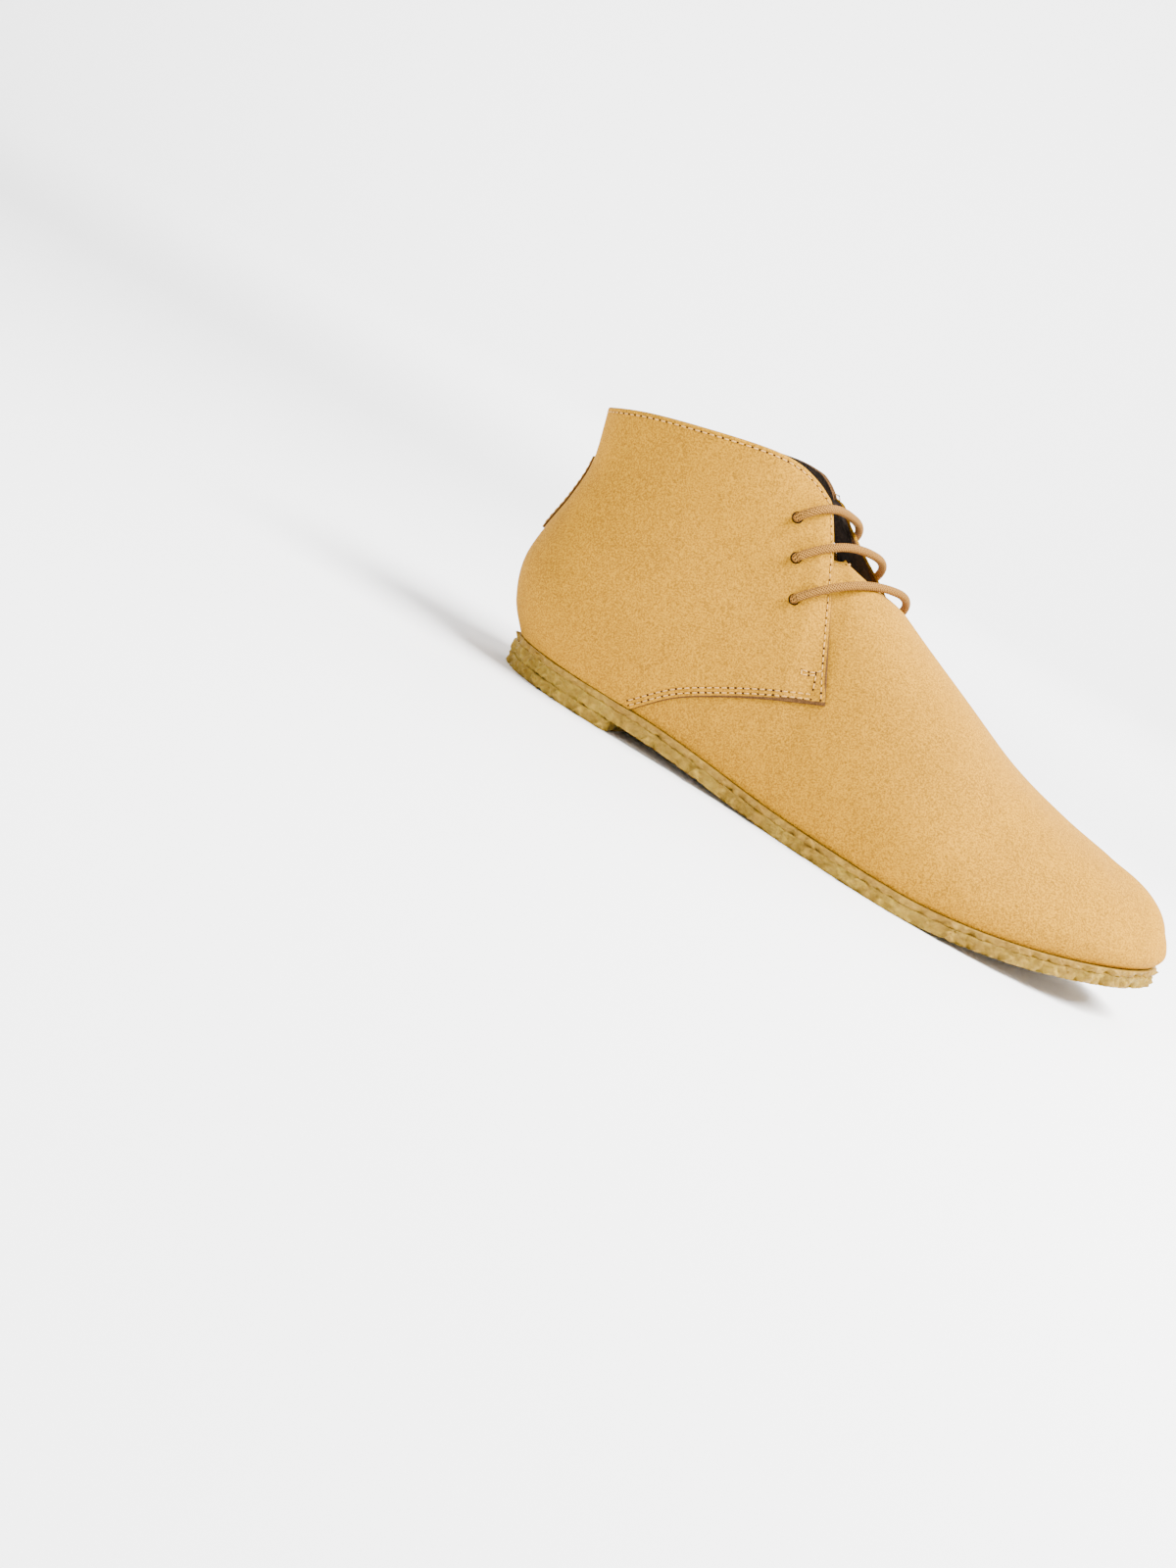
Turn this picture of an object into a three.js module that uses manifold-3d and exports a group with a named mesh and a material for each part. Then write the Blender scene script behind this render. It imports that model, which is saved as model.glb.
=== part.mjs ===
// Desert boot, right foot, size 43, standing unbent on its crepe sole.
// Millimetres, +Z up, +X towards the toe, -Y the lateral (outer) side. The origin is on the
// floor below the middle of the boot. A maker's pieces are separate meshes: a low crepe heel,
// a crepe outsole, a midsole, an insole, one hollow upper, a tongue, two quarters that lie
// over the upper, a strip down the back seam and a round lace in three straight bars.
import * as THREE from 'three';
import { mergeVertices } from 'three/addons/utils/BufferGeometryUtils.js';
import Module from 'manifold-3d';

const wasm = await Module();
wasm.setup();

// ---------- driving dimensions ----------
const SOLE_LENGTH = 298;
const OUTSOLE_THICK = 5.2;
const MIDSOLE_THICK = 2.5;
const HEEL_LIFT = 5;            // how far the heel holds the outsole off the floor
const ARCH_FRONT = 150;         // where the outsole comes down to the floor
const SPRING_START = 196;       // where the toe spring begins
const TOE_SPRING = 18;
const SPRING_POWER = 1.75;
const BREAST = { lateral: 60, medial: 66 };   // front face of the heel, a little slanted
const GAP = 0.3;                // between neighbours
const LEDGE = 2;                // the sole stands out this far past the upper
const EDGE_BEVEL = 1;           // lower edge of the crepe layers
const WALL = 1.6;               // upper: vamp leather, and the lining under the quarters
const QUARTER_THICK = 1.2;
const STRIP_THICK = 0.9;
const TONGUE_THICK = 1.5;
const TONGUE_DIP = 9;           // the tongue's free end lies this far inside the throat
const DIP_START = 4;            // the dip begins this far up the ridge from the throat
const DIP_RUN = 34;             // and is whole after this much more
const INSOLE_THICK = 2.2;
const EYELET_RADIUS = 2.25;
const LACE_RADIUS = 1.8;
const LACE_CLEAR_OUTSIDE = 0.5; // between a bar and the quarter below it
const LACE_CLEAR_INSIDE = 0.9;  // between a hidden run and the upper's inner face
const LEG_SPARE = 0.8;          // a leg runs on past the bars, so that the corner is full

// ---------- mesh fineness ----------
// Steps from back seam to toe on each side, closer together where the throat turns sharply.
const ROUND_STRETCHES = [
  { to: 0.40, steps: 9 },         // heel and ankle
  { to: 0.56, steps: 9 },         // throat
  { to: 1.00, steps: 11 },        // vamp and toe
];
const STEPS_UP = 13;            // from sole to top line
const SOLE_STEPS = 40;
const HEEL_STEPS = 16;
const COLLAR_STEPS = 20;
const FACING_STEPS = 16;
const FOOT_STEPS = 12;
const HOLE_SIDES = 12;
const LACE_SIDES = 8;
const BAR_POINTS = 14;          // points that shape a bar
const BAR_STEPS = 22;           // sections along a bar
const RUN_STEPS = 8;            // sections along a hidden run

// ---------- tables ----------
// The sole's outline: station as a part of the length, centre line and half width.
const OUTLINE = [
  { station: 0.00, centre: 0.0, half: 0.0 },      // heel back
  { station: 0.04, centre: -0.2, half: 22.0 },
  { station: 0.10, centre: -0.5, half: 31.5 },
  { station: 0.20, centre: -0.8, half: 35.8 },    // heel
  { station: 0.33, centre: -2.4, half: 35.2 },
  { station: 0.45, centre: -4.2, half: 38.4 },    // waist
  { station: 0.55, centre: -4.4, half: 44.6 },
  { station: 0.63, centre: -3.2, half: 49.8 },    // outer ball
  { station: 0.72, centre: 0.4, half: 52.0 },     // inner ball
  { station: 0.82, centre: 3.8, half: 48.8 },
  { station: 0.91, centre: 6.4, half: 39.6 },
  { station: 0.97, centre: 8.0, half: 25.6 },
  { station: 1.00, centre: 8.5, half: 0.0 },      // toe tip
];

// The last, one rib a row. Each rib climbs from the sole's edge to the top line: the ridge
// over the instep and toe (half = 0), or the opening's oval round the ankle. arch says how
// far the rib is a closed arch (1) or a straight shaft (0), full how square the arch is,
// and swell how far the wall stands out between sole and top line.
const RIBS = [
  { station: 0.00, x: -13.5, centre: 0.0, half: 0.0, z: 123, arch: 0.00, full: 2.0, swell: 10.5 },
  { station: 0.04, x: -10.0, centre: 0.0, half: 14.0, z: 124, arch: 0.00, full: 2.0, swell: 9.0 },
  { station: 0.10, x: 0.5, centre: 0.0, half: 24.5, z: 126, arch: 0.00, full: 2.0, swell: 6.5 },
  { station: 0.20, x: 25.0, centre: 0.0, half: 31.5, z: 132, arch: 0.00, full: 2.0, swell: 4.5 },
  { station: 0.33, x: 60.0, centre: 0.0, half: 28.5, z: 139, arch: 0.15, full: 2.0, swell: 3.0 },
  { station: 0.41, x: 83.0, centre: 0.0, half: 15.0, z: 136, arch: 0.60, full: 2.0, swell: 2.5 },
  { station: 0.46, x: 98.0, centre: 0.0, half: 0.0, z: 124, arch: 1.00, full: 2.0, swell: 2.5 },
  { station: 0.53, x: 123.0, centre: 1.0, half: 0.0, z: 108, arch: 1.00, full: 2.1, swell: 2.5 },
  { station: 0.60, x: 150.0, centre: 2.5, half: 0.0, z: 94, arch: 1.00, full: 2.2, swell: 2.5 },
  { station: 0.68, x: 180.0, centre: 4.0, half: 0.0, z: 81, arch: 1.00, full: 2.3, swell: 2.5 },
  { station: 0.76, x: 207.0, centre: 5.5, half: 0.0, z: 69, arch: 1.00, full: 2.3, swell: 2.5 },
  { station: 0.85, x: 233.0, centre: 7.0, half: 0.0, z: 60.5, arch: 1.00, full: 2.5, swell: 2.5 },
  { station: 0.93, x: 252.0, centre: 8.0, half: 0.0, z: 56.2, arch: 1.00, full: 2.8, swell: 2.5 },
  { station: 1.00, x: 263.0, centre: 8.5, half: 0.0, z: 54.4, arch: 1.00, full: 3.0, swell: 2.5 },
];

// How the swell runs up a rib: full low on the counter, drawn in at the ankle.
const SWELL = [
  { height: 0.00, amount: 0.00 },
  { height: 0.11, amount: 0.72 },
  { height: 0.25, amount: 1.00 },
  { height: 0.40, amount: 0.66 },
  { height: 0.55, amount: 0.12 },
  { height: 0.70, amount: -0.26 },
  { height: 0.85, amount: -0.20 },
  { height: 1.00, amount: 0.00 },
];

// Side patterns (x, z): the collar from back to front, the facing down to the quarter's
// corner, and the quarter's lower edge back to the sole.
const COLLAR_BACK = [[-30, 110], [-12, 113.5], [11, 121], [37, 127.3], [61, 132], [74, 132.4]];
const COLLAR = {
  lateral: [...COLLAR_BACK, [84, 129.5], [91, 125.5]],
  medial: [...COLLAR_BACK, [79, 130.8], [83, 127.6]],
};
const FACING = {
  lateral: [[94.5, 121.5], [103.5, 107.5], [113, 91.5], [124.5, 71.5], [134, 55]],
  medial: [[86, 123.8], [98, 114.8], [112.8, 105.2], [135.5, 92], [142.5, 78], [147, 61]],
};
const QUARTER_FOOT = {
  lateral: [[114.5, 46.6], [95, 36.6], [77.5, 25.5], [58, 6]],
  medial: [[126, 51], [104, 39], [84, 26], [60, 5]],
};
// The throat opens above this line over the instep, from facing to facing.
const THROAT = { lateral: [113, 91.5], medial: [135.5, 92], ridge: [142, 101.5] };
const TONGUE = {
  lateral: [[122, 132], [107.6, 106.3], [106, 103.5], [98, 98], [114, 76], [154, 84], [154, 135]],
  medial: [[122, 132], [107.6, 106.3], [106.6, 103.5], [110, 101], [129, 87.5], [154, 82], [154, 135]],
};
// Eyelets (x, z) on the sides, top to bottom.
const EYELETS = {
  lateral: [[85, 113.5], [93, 99.5], [101, 85]],
  medial: [[96, 107.5], [110.5, 96.5], [127, 85]],
};
const PUNCH_LENGTH = 12;
// Where each bar passes the ridge (x) and how high over it, and its fullness on the lateral and
// the medial half. A full bar is squarer than half an ellipse, whose fullness is 2.
const BARS = [
  { x: 100.5, height: 0.9, full: [3.1, 2.1] },
  { x: 115, height: 1.6, full: [2.8, 2] },
  { x: 130.5, height: 2.3, full: [2.6, 1.85] },
];
// The lace's spare end climbs inside from the lowest medial eyelet to beside the top one.
const LOOSE_END = [[119, 86], [112, 87.5], [105, 90.5], [99, 94.5], [94, 100], [88, 108]];

// ---------- small maths ----------
const clamp = (v, lo, hi) => Math.min(hi, Math.max(lo, v));
const ease = (s) => { const c = clamp(s, 0, 1); return c * c * (3 - 2 * c); };
const turn = (station) => Math.acos(clamp(1 - 2 * station, -1, 1)) / Math.PI;

// A smooth curve through a table's column, looked up by its first column.
function column(table, key, name, place) {
  const at = table.map((row) => (key === 'station' ? turn(row.station) : row[key]));
  const val = table.map((row) => row[name]);
  const last = at.length - 1;
  const slope = (i) => {
    const a = Math.max(i - 1, 0);
    const b = Math.min(i + 1, last);
    return (val[b] - val[a]) / (at[b] - at[a]);
  };
  return (t) => {
    let i = 0;
    while (i < last - 1 && t >= at[i + 1]) i += 1;
    const h = at[i + 1] - at[i];
    const s = clamp((t - at[i]) / h, 0, 1);
    return (2 * s ** 3 - 3 * s ** 2 + 1) * val[i] + (s ** 3 - 2 * s ** 2 + s) * h * slope(i)
      + (-2 * s ** 3 + 3 * s ** 2) * val[i + 1] + (s ** 3 - s ** 2) * h * slope(i + 1);
  };
}
const outlineCentre = column(OUTLINE, 'station', 'centre');
const outlineHalf = column(OUTLINE, 'station', 'half');
const rib = Object.fromEntries(['x', 'centre', 'half', 'z', 'arch', 'full', 'swell']
  .map((name) => [name, column(RIBS, 'station', name)]));
const swellAt = column(SWELL, 'height', 'amount');

// ---------- the sole's forms ----------
const SIDES = { lateral: -1, medial: 1 };

// Underside of the outsole along the length: heel seat, arch, flat forefoot, toe spring.
function tread(x) {
  const heelEnd = (BREAST.lateral + BREAST.medial) / 2;
  const arch = HEEL_LIFT * (1 - ease((x - heelEnd) / (ARCH_FRONT - heelEnd)));
  const rise = clamp((x - SPRING_START) / (SOLE_LENGTH - SPRING_START), 0, 2);
  return arch + TOE_SPRING * rise ** SPRING_POWER;
}
const SOLE_TOP = OUTSOLE_THICK + GAP + MIDSOLE_THICK;

// A point of the sole's edge, t from 0 at the heel to 1 at the toe, drawn in by inset.
function edgePoint(t, side, inset) {
  const raw = (u) => {
    const c = clamp(u, 0, 1);
    return [SOLE_LENGTH * (1 - Math.cos(Math.PI * c)) / 2, outlineCentre(c) + side * outlineHalf(c)];
  };
  const [x, y] = raw(t);
  const [xa, ya] = raw(t - 1e-3);
  const [xb, yb] = raw(t + 1e-3);
  const run = Math.hypot(xb - xa, yb - ya);
  let out = [-side * (yb - ya) / run, side * (xb - xa) / run];
  if (t < 1e-6) out = [-1, 0];
  if (t > 1 - 1e-6) out = [1, 0];
  return { x: x - out[0] * inset, y: y - out[1] * inset, out };
}

// ---------- the last ----------
// p goes once round: 0 the back seam, 0.5 the toe by the lateral side, 1 the back again.
// w goes up a rib, 0 at the sole and 1 at the top line.
function lastPoint(p, w) {
  const round = ((p % 1) + 1) % 1;
  const side = round <= 0.5 ? SIDES.lateral : SIDES.medial;
  const t = round <= 0.5 ? 2 * round : 2 - 2 * round;
  const foot = edgePoint(t, side, LEDGE);
  const footZ = tread(foot.x) + SOLE_TOP + GAP;
  const arch = clamp(rib.arch(t), 0, 1);
  const topX = rib.x(t);
  const topY = rib.centre(t) + side * Math.max(rib.half(t), 0);
  const power = 2 / rib.full(t);
  const angle = Math.PI * w / 2;
  const across = w + (1 - Math.cos(angle) ** power - w) * arch;
  const up = w + (Math.sin(angle) ** power - w) * arch;
  const e = 1e-3;
  const t0 = Math.max(t - e, 0);
  const t1 = Math.min(t + e, 1);
  const ridgeSlope = (rib.z(t1) - rib.z(t0)) / (rib.x(t1) - rib.x(t0));
  const amount = swellAt(clamp(up, 0, 1));
  const swell = rib.swell(t) * (Math.max(amount, 0) + (1 - arch) * Math.min(amount, 0));
  const x = foot.x + across * (topX - foot.x);
  const y = foot.y + across * (topY - foot.y);
  const z = footZ + up * (rib.z(t) + arch * ridgeSlope * (x - topX) - footZ);
  return new THREE.Vector3(x + foot.out[0] * swell, y + foot.out[1] * swell, z);
}

function lastNormal(p, w) {
  const e = 2e-4;
  const alongP = lastPoint(p + e, w).sub(lastPoint(p - e, w));
  const alongW = lastPoint(p, Math.min(w + 3 * e, 1)).sub(lastPoint(p, Math.max(w - 3 * e, 0)));
  return alongP.cross(alongW).normalize();
}

// The last grown by an offset. Its foot keeps the sole's height, so the rim lies flat.
function formPoint(p, w, offset) {
  const point = lastPoint(p, w);
  const normal = lastNormal(p, w);
  if (w === 0) normal.setZ(0).normalize();
  const grown = point.clone().addScaledVector(normal, offset);
  if (w === 0) grown.z = point.z;
  return grown;
}

// Where the last's side shows a given x and z, by Newton steps from a first guess. h is p
// counted from the back seam on either side. No step is longer than most.
const SEARCH = {
  start: { h: 0.225, w: 0.7 },
  low: { h: 0.01, w: 0.01 },
  high: { h: 0.49, w: 0.995 },
  most: { h: 0.02, w: 0.1 },
  nudge: 1e-4,
  steps: 40,
};
function findOnLast(sideName, x, z) {
  const fromHalf = (h) => (sideName === 'lateral' ? h : 1 - h);
  let { h, w } = SEARCH.start;
  const e = SEARCH.nudge;
  for (let step = 0; step < SEARCH.steps; step += 1) {
    const here = lastPoint(fromHalf(h), w);
    const alongH = lastPoint(fromHalf(h + e), w).sub(here).divideScalar(e);
    const alongW = lastPoint(fromHalf(h), w - e).sub(here).divideScalar(-e);
    const det = alongH.x * alongW.z - alongW.x * alongH.z;
    const dx = x - here.x;
    const dz = z - here.z;
    const moveH = clamp((dx * alongW.z - alongW.x * dz) / det, -SEARCH.most.h, SEARCH.most.h);
    const moveW = clamp((alongH.x * dz - alongH.z * dx) / det, -SEARCH.most.w, SEARCH.most.w);
    h = clamp(h + moveH, SEARCH.low.h, SEARCH.high.h);
    w = clamp(w + moveW, SEARCH.low.w, SEARCH.high.w);
  }
  return { p: fromHalf(h), w };
}

// ---------- solids ----------
const toSolid = (geometry) => {
  const bare = geometry.clone();
  bare.deleteAttribute('normal');
  bare.deleteAttribute('uv');
  const merged = mergeVertices(bare, 1e-4);
  return new wasm.Manifold(new wasm.Mesh({
    numProp: 3,
    vertProperties: new Float32Array(merged.attributes.position.array),
    triVerts: new Uint32Array(merged.index.array),
  }));
};

const toGeometry = (solid) => {
  const made = solid.getMesh();
  const geometry = new THREE.BufferGeometry();
  geometry.setAttribute('position', new THREE.BufferAttribute(new Float32Array(made.vertProperties), 3));
  geometry.setIndex(new THREE.BufferAttribute(new Uint32Array(made.triVerts), 1));
  const flat = geometry.toNonIndexed();
  flat.computeVertexNormals();
  return flat;
};

function fromFaces(points, faces) {
  const geometry = new THREE.BufferGeometry();
  geometry.setAttribute('position', new THREE.Float32BufferAttribute(points.flatMap((v) => v.toArray()), 3));
  geometry.setIndex(faces.flat());
  return toSolid(geometry);
}

// The ribs' places once round the last: out along the lateral side, back along the medial.
const oneSide = [0];
for (const { to, steps } of ROUND_STRETCHES) {
  const from = oneSide[oneSide.length - 1];
  for (let k = 1; k <= steps; k += 1) oneSide.push(from + (to - from) * k / steps);
}
const ROUND = [...oneSide, ...oneSide.slice(1, -1).reverse().map((t) => 2 - t)].map((t) => t / 2);

// The closed wall between two offsets of the last. Each offset is a function of the last's
// own point, so that a piece can sink as it goes.
function wallBetween(innerOffset, outerOffset) {
  const around = ROUND.length;
  const points = [];
  const faces = [];
  const index = (layer, i, j) => (layer * around + (i % around)) * (STEPS_UP + 1) + j;
  for (const offset of [outerOffset, innerOffset]) {
    for (let i = 0; i < around; i += 1) {
      for (let j = 0; j <= STEPS_UP; j += 1) {
        points.push(gridPoint(ROUND[i], j / STEPS_UP, offset));
      }
    }
  }
  for (let i = 0; i < around; i += 1) {
    for (let j = 0; j < STEPS_UP; j += 1) {
      const outer = [index(0, i, j), index(0, i + 1, j), index(0, i + 1, j + 1), index(0, i, j + 1)];
      const inner = [index(1, i, j), index(1, i, j + 1), index(1, i + 1, j + 1), index(1, i + 1, j)];
      for (const [a, b, c, d] of [outer, inner]) faces.push([a, b, c], [a, c, d]);
    }
    const sole = [index(0, i, 0), index(1, i, 0), index(1, i + 1, 0), index(0, i + 1, 0)];
    faces.push([sole[0], sole[1], sole[2]], [sole[0], sole[2], sole[3]]);
    const open = [i, i + 1].some((k) => !closedAt(ROUND[k % around]));
    if (open) {
      const top = [index(0, i, STEPS_UP), index(0, i + 1, STEPS_UP),
        index(1, i + 1, STEPS_UP), index(1, i, STEPS_UP)];
      faces.push([top[0], top[1], top[2]], [top[0], top[2], top[3]]);
    }
  }
  return fromFaces(points, faces);
}

// Where both sides meet on the ridge, they share one point and one normal.
const closedAt = (p) => rib.half(p <= 0.5 ? 2 * p : 2 - 2 * p) <= 0;

function gridPoint(p, w, offset) {
  const grow = offset(lastPoint(p, w));
  if (w < 1 || !closedAt(p)) return formPoint(p, w, grow);
  const near = p <= 0.5 ? p : 1 - p;
  const normal = lastNormal(near, 1).add(lastNormal(1 - near, 1)).normalize();
  return lastPoint(near, 1).addScaledVector(normal, grow);
}

const even = (offset) => () => offset;

// A block seen from the side: an outline of (x, z) pairs between two y planes.
function sideBlock(outline, yFrom, yTo) {
  const shape = new THREE.Shape(outline.map(([x, z]) => new THREE.Vector2(x, z)));
  const block = new THREE.ExtrudeGeometry(shape, { depth: yTo - yFrom, bevelEnabled: false });
  block.rotateX(Math.PI / 2).translate(0, yTo, 0);
  return toSolid(block);
}

const smoothLine = (points, steps) => new THREE.SplineCurve(points.map((q) => new THREE.Vector2(...q)))
  .getPoints(steps).map((q) => [q.x, q.y]);

// Cutting blocks reach past the boot on every side.
const FAR = 90;
const BLOCK = { back: -40, top: 170, seat: 52 };
const halfSpace = (sideName, middle) => (sideName === 'lateral' ? [-FAR, middle] : [middle, FAR]);

// A slab of the sole: levels from the bottom up, each an inset of the outline at a height.
function slab(levels, tEnd = { lateral: 1, medial: 1 }, steps = SOLE_STEPS) {
  const points = [];
  const faces = [];
  const at = (level, sideIndex, i) => (level * 2 + sideIndex) * (steps + 1) + i;
  for (const { inset, height } of levels) {
    for (const sideName of ['lateral', 'medial']) {
      for (let i = 0; i <= steps; i += 1) {
        const { x, y } = edgePoint(tEnd[sideName] * i / steps, SIDES[sideName], inset);
        points.push(new THREE.Vector3(x, y, height(x)));
      }
    }
  }
  const quad = (a, b, c, d) => faces.push([a, b, c], [a, c, d]);
  const top = levels.length - 1;
  for (let i = 0; i < steps; i += 1) {
    quad(at(0, 0, i), at(0, 1, i), at(0, 1, i + 1), at(0, 0, i + 1));
    quad(at(top, 0, i), at(top, 0, i + 1), at(top, 1, i + 1), at(top, 1, i));
    for (let k = 0; k < top; k += 1) {
      quad(at(k, 0, i), at(k, 0, i + 1), at(k + 1, 0, i + 1), at(k + 1, 0, i));
      quad(at(k, 1, i + 1), at(k, 1, i), at(k + 1, 1, i), at(k + 1, 1, i + 1));
    }
  }
  for (let k = 0; k < top; k += 1) {
    quad(at(k, 0, steps), at(k, 1, steps), at(k + 1, 1, steps), at(k + 1, 0, steps));
  }
  return fromFaces(points, faces.filter(([a, b, c]) => new Set([a, b, c]).size === 3));
}

// ---------- the pieces ----------
const above = (base) => (x) => tread(x) + base;

function makeHeel() {
  const tEnd = { lateral: turn(BREAST.lateral / SOLE_LENGTH), medial: turn(BREAST.medial / SOLE_LENGTH) };
  return slab([
    { inset: EDGE_BEVEL, height: () => 0 },
    { inset: 0, height: () => EDGE_BEVEL },
    { inset: 0, height: () => HEEL_LIFT - GAP },
  ], tEnd, HEEL_STEPS);
}

function makeOutsole() {
  return slab([
    { inset: EDGE_BEVEL, height: above(0) },
    { inset: 0, height: above(EDGE_BEVEL) },
    { inset: 0, height: above(OUTSOLE_THICK) },
  ]);
}

function makeMidsole() {
  return slab([
    { inset: 0, height: above(OUTSOLE_THICK + GAP) },
    { inset: 0, height: above(SOLE_TOP) },
  ]);
}

function makeInsole() {
  const inset = LEDGE + WALL + 2 * GAP;
  return slab([
    { inset, height: above(SOLE_TOP + GAP) },
    { inset, height: above(SOLE_TOP + GAP + INSOLE_THICK) },
  ]);
}

// Eyelet holes go straight through upper and quarter, along the last's normal.
function eyeletHoles(sideName) {
  return EYELETS[sideName].map(([x, z]) => {
    const { p, w } = findOnLast(sideName, x, z);
    const punch = new THREE.CylinderGeometry(EYELET_RADIUS, EYELET_RADIUS, PUNCH_LENGTH, HOLE_SIDES);
    const upright = new THREE.Vector3(0, 1, 0);
    punch.applyQuaternion(new THREE.Quaternion().setFromUnitVectors(upright, lastNormal(p, w)));
    const at = lastPoint(p, w);
    return toSolid(punch.translate(at.x, at.y, at.z));
  });
}

const subtractAll = (solid, tools) => tools.reduce((rest, tool) => rest.subtract(tool), solid);

// One hollow wall, open underneath, at the collar and at the throat.
function makeUpper() {
  let wall = wallBetween(even(-WALL), even(0));
  for (const sideName of ['lateral', 'medial']) {
    const throatZ = THROAT[sideName][1];
    const facing = smoothLine(FACING[sideName], FACING_STEPS).filter(([, z]) => z > throatZ + 1);
    const opening = [...smoothLine(COLLAR[sideName], COLLAR_STEPS), ...facing, THROAT[sideName], THROAT.ridge,
      [THROAT.ridge[0], BLOCK.top], [COLLAR_BACK[0][0], BLOCK.top]];
    wall = wall.subtract(sideBlock(opening, ...halfSpace(sideName, 1)));
    wall = subtractAll(wall, eyeletHoles(sideName));
  }
  return wall;
}

// A quarter lies over the upper, cut between two larger forms of the same last.
function makeQuarter(sideName) {
  const inner = GAP;
  const skin = wallBetween(even(inner), even(inner + QUARTER_THICK));
  const outline = [[COLLAR_BACK[0][0], 0], ...smoothLine(COLLAR[sideName], COLLAR_STEPS),
    ...smoothLine(FACING[sideName], FACING_STEPS),
    ...smoothLine(QUARTER_FOOT[sideName], FOOT_STEPS), [BLOCK.seat, 0]];
  const side = SIDES[sideName];
  const seam = side * GAP / 2;
  const piece = skin.intersect(sideBlock(outline, ...halfSpace(sideName, seam)));
  return subtractAll(piece, eyeletHoles(sideName));
}

// A short strip stands proud over the upper part of the back seam.
const STRIP = { halfWidth: 5.5, from: 56, to: 93, reach: 15 };
function makeBackStrip() {
  const inner = GAP + QUARTER_THICK + GAP;
  const skin = wallBetween(even(inner), even(inner + STRIP_THICK));
  const outline = [[BLOCK.back, STRIP.from], [STRIP.reach, STRIP.from],
    [STRIP.reach, STRIP.to], [BLOCK.back, STRIP.to]];
  return skin.intersect(sideBlock(outline, -STRIP.halfWidth, STRIP.halfWidth));
}

// The tongue carries the vamp's line on under the throat and sinks towards its free end.
const UP_RIDGE = new THREE.Vector2(-0.83, 0.55);      // the ridge's slope, in x and z
function makeTongue() {
  const [ridgeX, ridgeZ] = THROAT.ridge;
  const sink = (point) => {
    const along = new THREE.Vector2(point.x - ridgeX, point.z - ridgeZ).dot(UP_RIDGE);
    return TONGUE_DIP * ease((along - DIP_START) / DIP_RUN);
  };
  const outer = (point) => -(WALL + GAP) - sink(point);
  const sheet = wallBetween((point) => outer(point) - TONGUE_THICK, outer);
  const cut = sideBlock(TONGUE.lateral, -FAR, 1).add(sideBlock(TONGUE.medial, 1, FAR));
  return sheet.intersect(cut);
}

// ---------- the lace ----------
// Heights of the cord's own middle over the last: outside over the quarters, and inside.
const BAR_HEIGHT = GAP + QUARTER_THICK + GAP + LACE_RADIUS + LACE_CLEAR_OUTSIDE;
const RUN_DEPTH = -(WALL + GAP + LACE_RADIUS + LACE_CLEAR_INSIDE);

const onForm = ({ p, w }, offset) => lastPoint(p, w).addScaledVector(lastNormal(p, w), offset);

function cordAlong(points, steps) {
  const ring = Array.from({ length: LACE_SIDES }, (_, i) => {
    const a = (i + 0.5) * 2 * Math.PI / LACE_SIDES;
    return new THREE.Vector2(LACE_RADIUS * Math.cos(a), LACE_RADIUS * Math.sin(a));
  });
  const extrudePath = new THREE.CatmullRomCurve3(points);
  const section = new THREE.Shape(ring);
  return toSolid(new THREE.ExtrudeGeometry(section, { steps, extrudePath, bevelEnabled: false }));
}

// The ridge point (as p and w) of the form nearest to a given x, by small steps towards it.
const RIDGE_SEARCH = { steps: 60, pull: 1 / 400, most: 0.05 };
function ridgeAt(x) {
  let station = turn(x / SOLE_LENGTH);
  for (let step = 0; step < RIDGE_SEARCH.steps; step += 1) {
    const miss = (lastPoint(station / 2, 1).x - x) * RIDGE_SEARCH.pull;
    station -= clamp(miss, -RIDGE_SEARCH.most, RIDGE_SEARCH.most);
  }
  return { p: station / 2, w: 1 };
}

// Each bar is half a squarish ellipse in one plane, from hole to hole over the ridge.
function makeLace() {
  const holes = Object.fromEntries(['lateral', 'medial']
    .map((sideName) => [sideName, EYELETS[sideName].map(([x, z]) => findOnLast(sideName, x, z))]));
  const blend = (a, b, s) => ({ p: a.p + (b.p - a.p) * s, w: a.w + (b.w - a.w) * s });
  const parts = BARS.map(({ x, height, full }, row) => {
    const from = onForm(holes.lateral[row], BAR_HEIGHT);
    const to = onForm(holes.medial[row], BAR_HEIGHT);
    const middle = from.clone().add(to).divideScalar(2);
    const half = to.clone().sub(from).divideScalar(2);
    const rise = onForm(ridgeAt(x), height).sub(middle);
    const points = Array.from({ length: BAR_POINTS + 1 }, (_, k) => {
      const angle = Math.PI * (1 - k / BAR_POINTS);
      const power = 2 / (Math.cos(angle) < 0 ? full[0] : full[1]);
      const across = Math.sign(Math.cos(angle)) * Math.abs(Math.cos(angle)) ** power;
      return middle.clone().addScaledVector(half, across)
        .addScaledVector(rise, Math.max(Math.sin(angle), 0) ** power);
    });
    return cordAlong(points, BAR_STEPS);
  });
  for (const hole of [...holes.lateral, ...holes.medial]) {
    const outside = onForm(hole, BAR_HEIGHT + LEG_SPARE);
    const inside = onForm(hole, RUN_DEPTH - LEG_SPARE);
    parts.push(cordAlong([inside, outside], 1));
  }
  const run = (from, to) => {
    const points = [0, 0.2, 0.4, 0.6, 0.8, 1].map((s) => onForm(blend(from, to, s), RUN_DEPTH));
    return cordAlong(points, RUN_STEPS);
  };
  parts.push(run(holes.lateral[2], holes.lateral[1]), run(holes.medial[1], holes.medial[0]));
  const spare = LOOSE_END.map(([x, z]) => onForm(findOnLast('medial', x, z), RUN_DEPTH));
  parts.push(cordAlong([onForm(holes.medial[2], RUN_DEPTH), ...spare], RUN_STEPS));
  return parts.reduce((whole, part) => whole.add(part));
}

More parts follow.
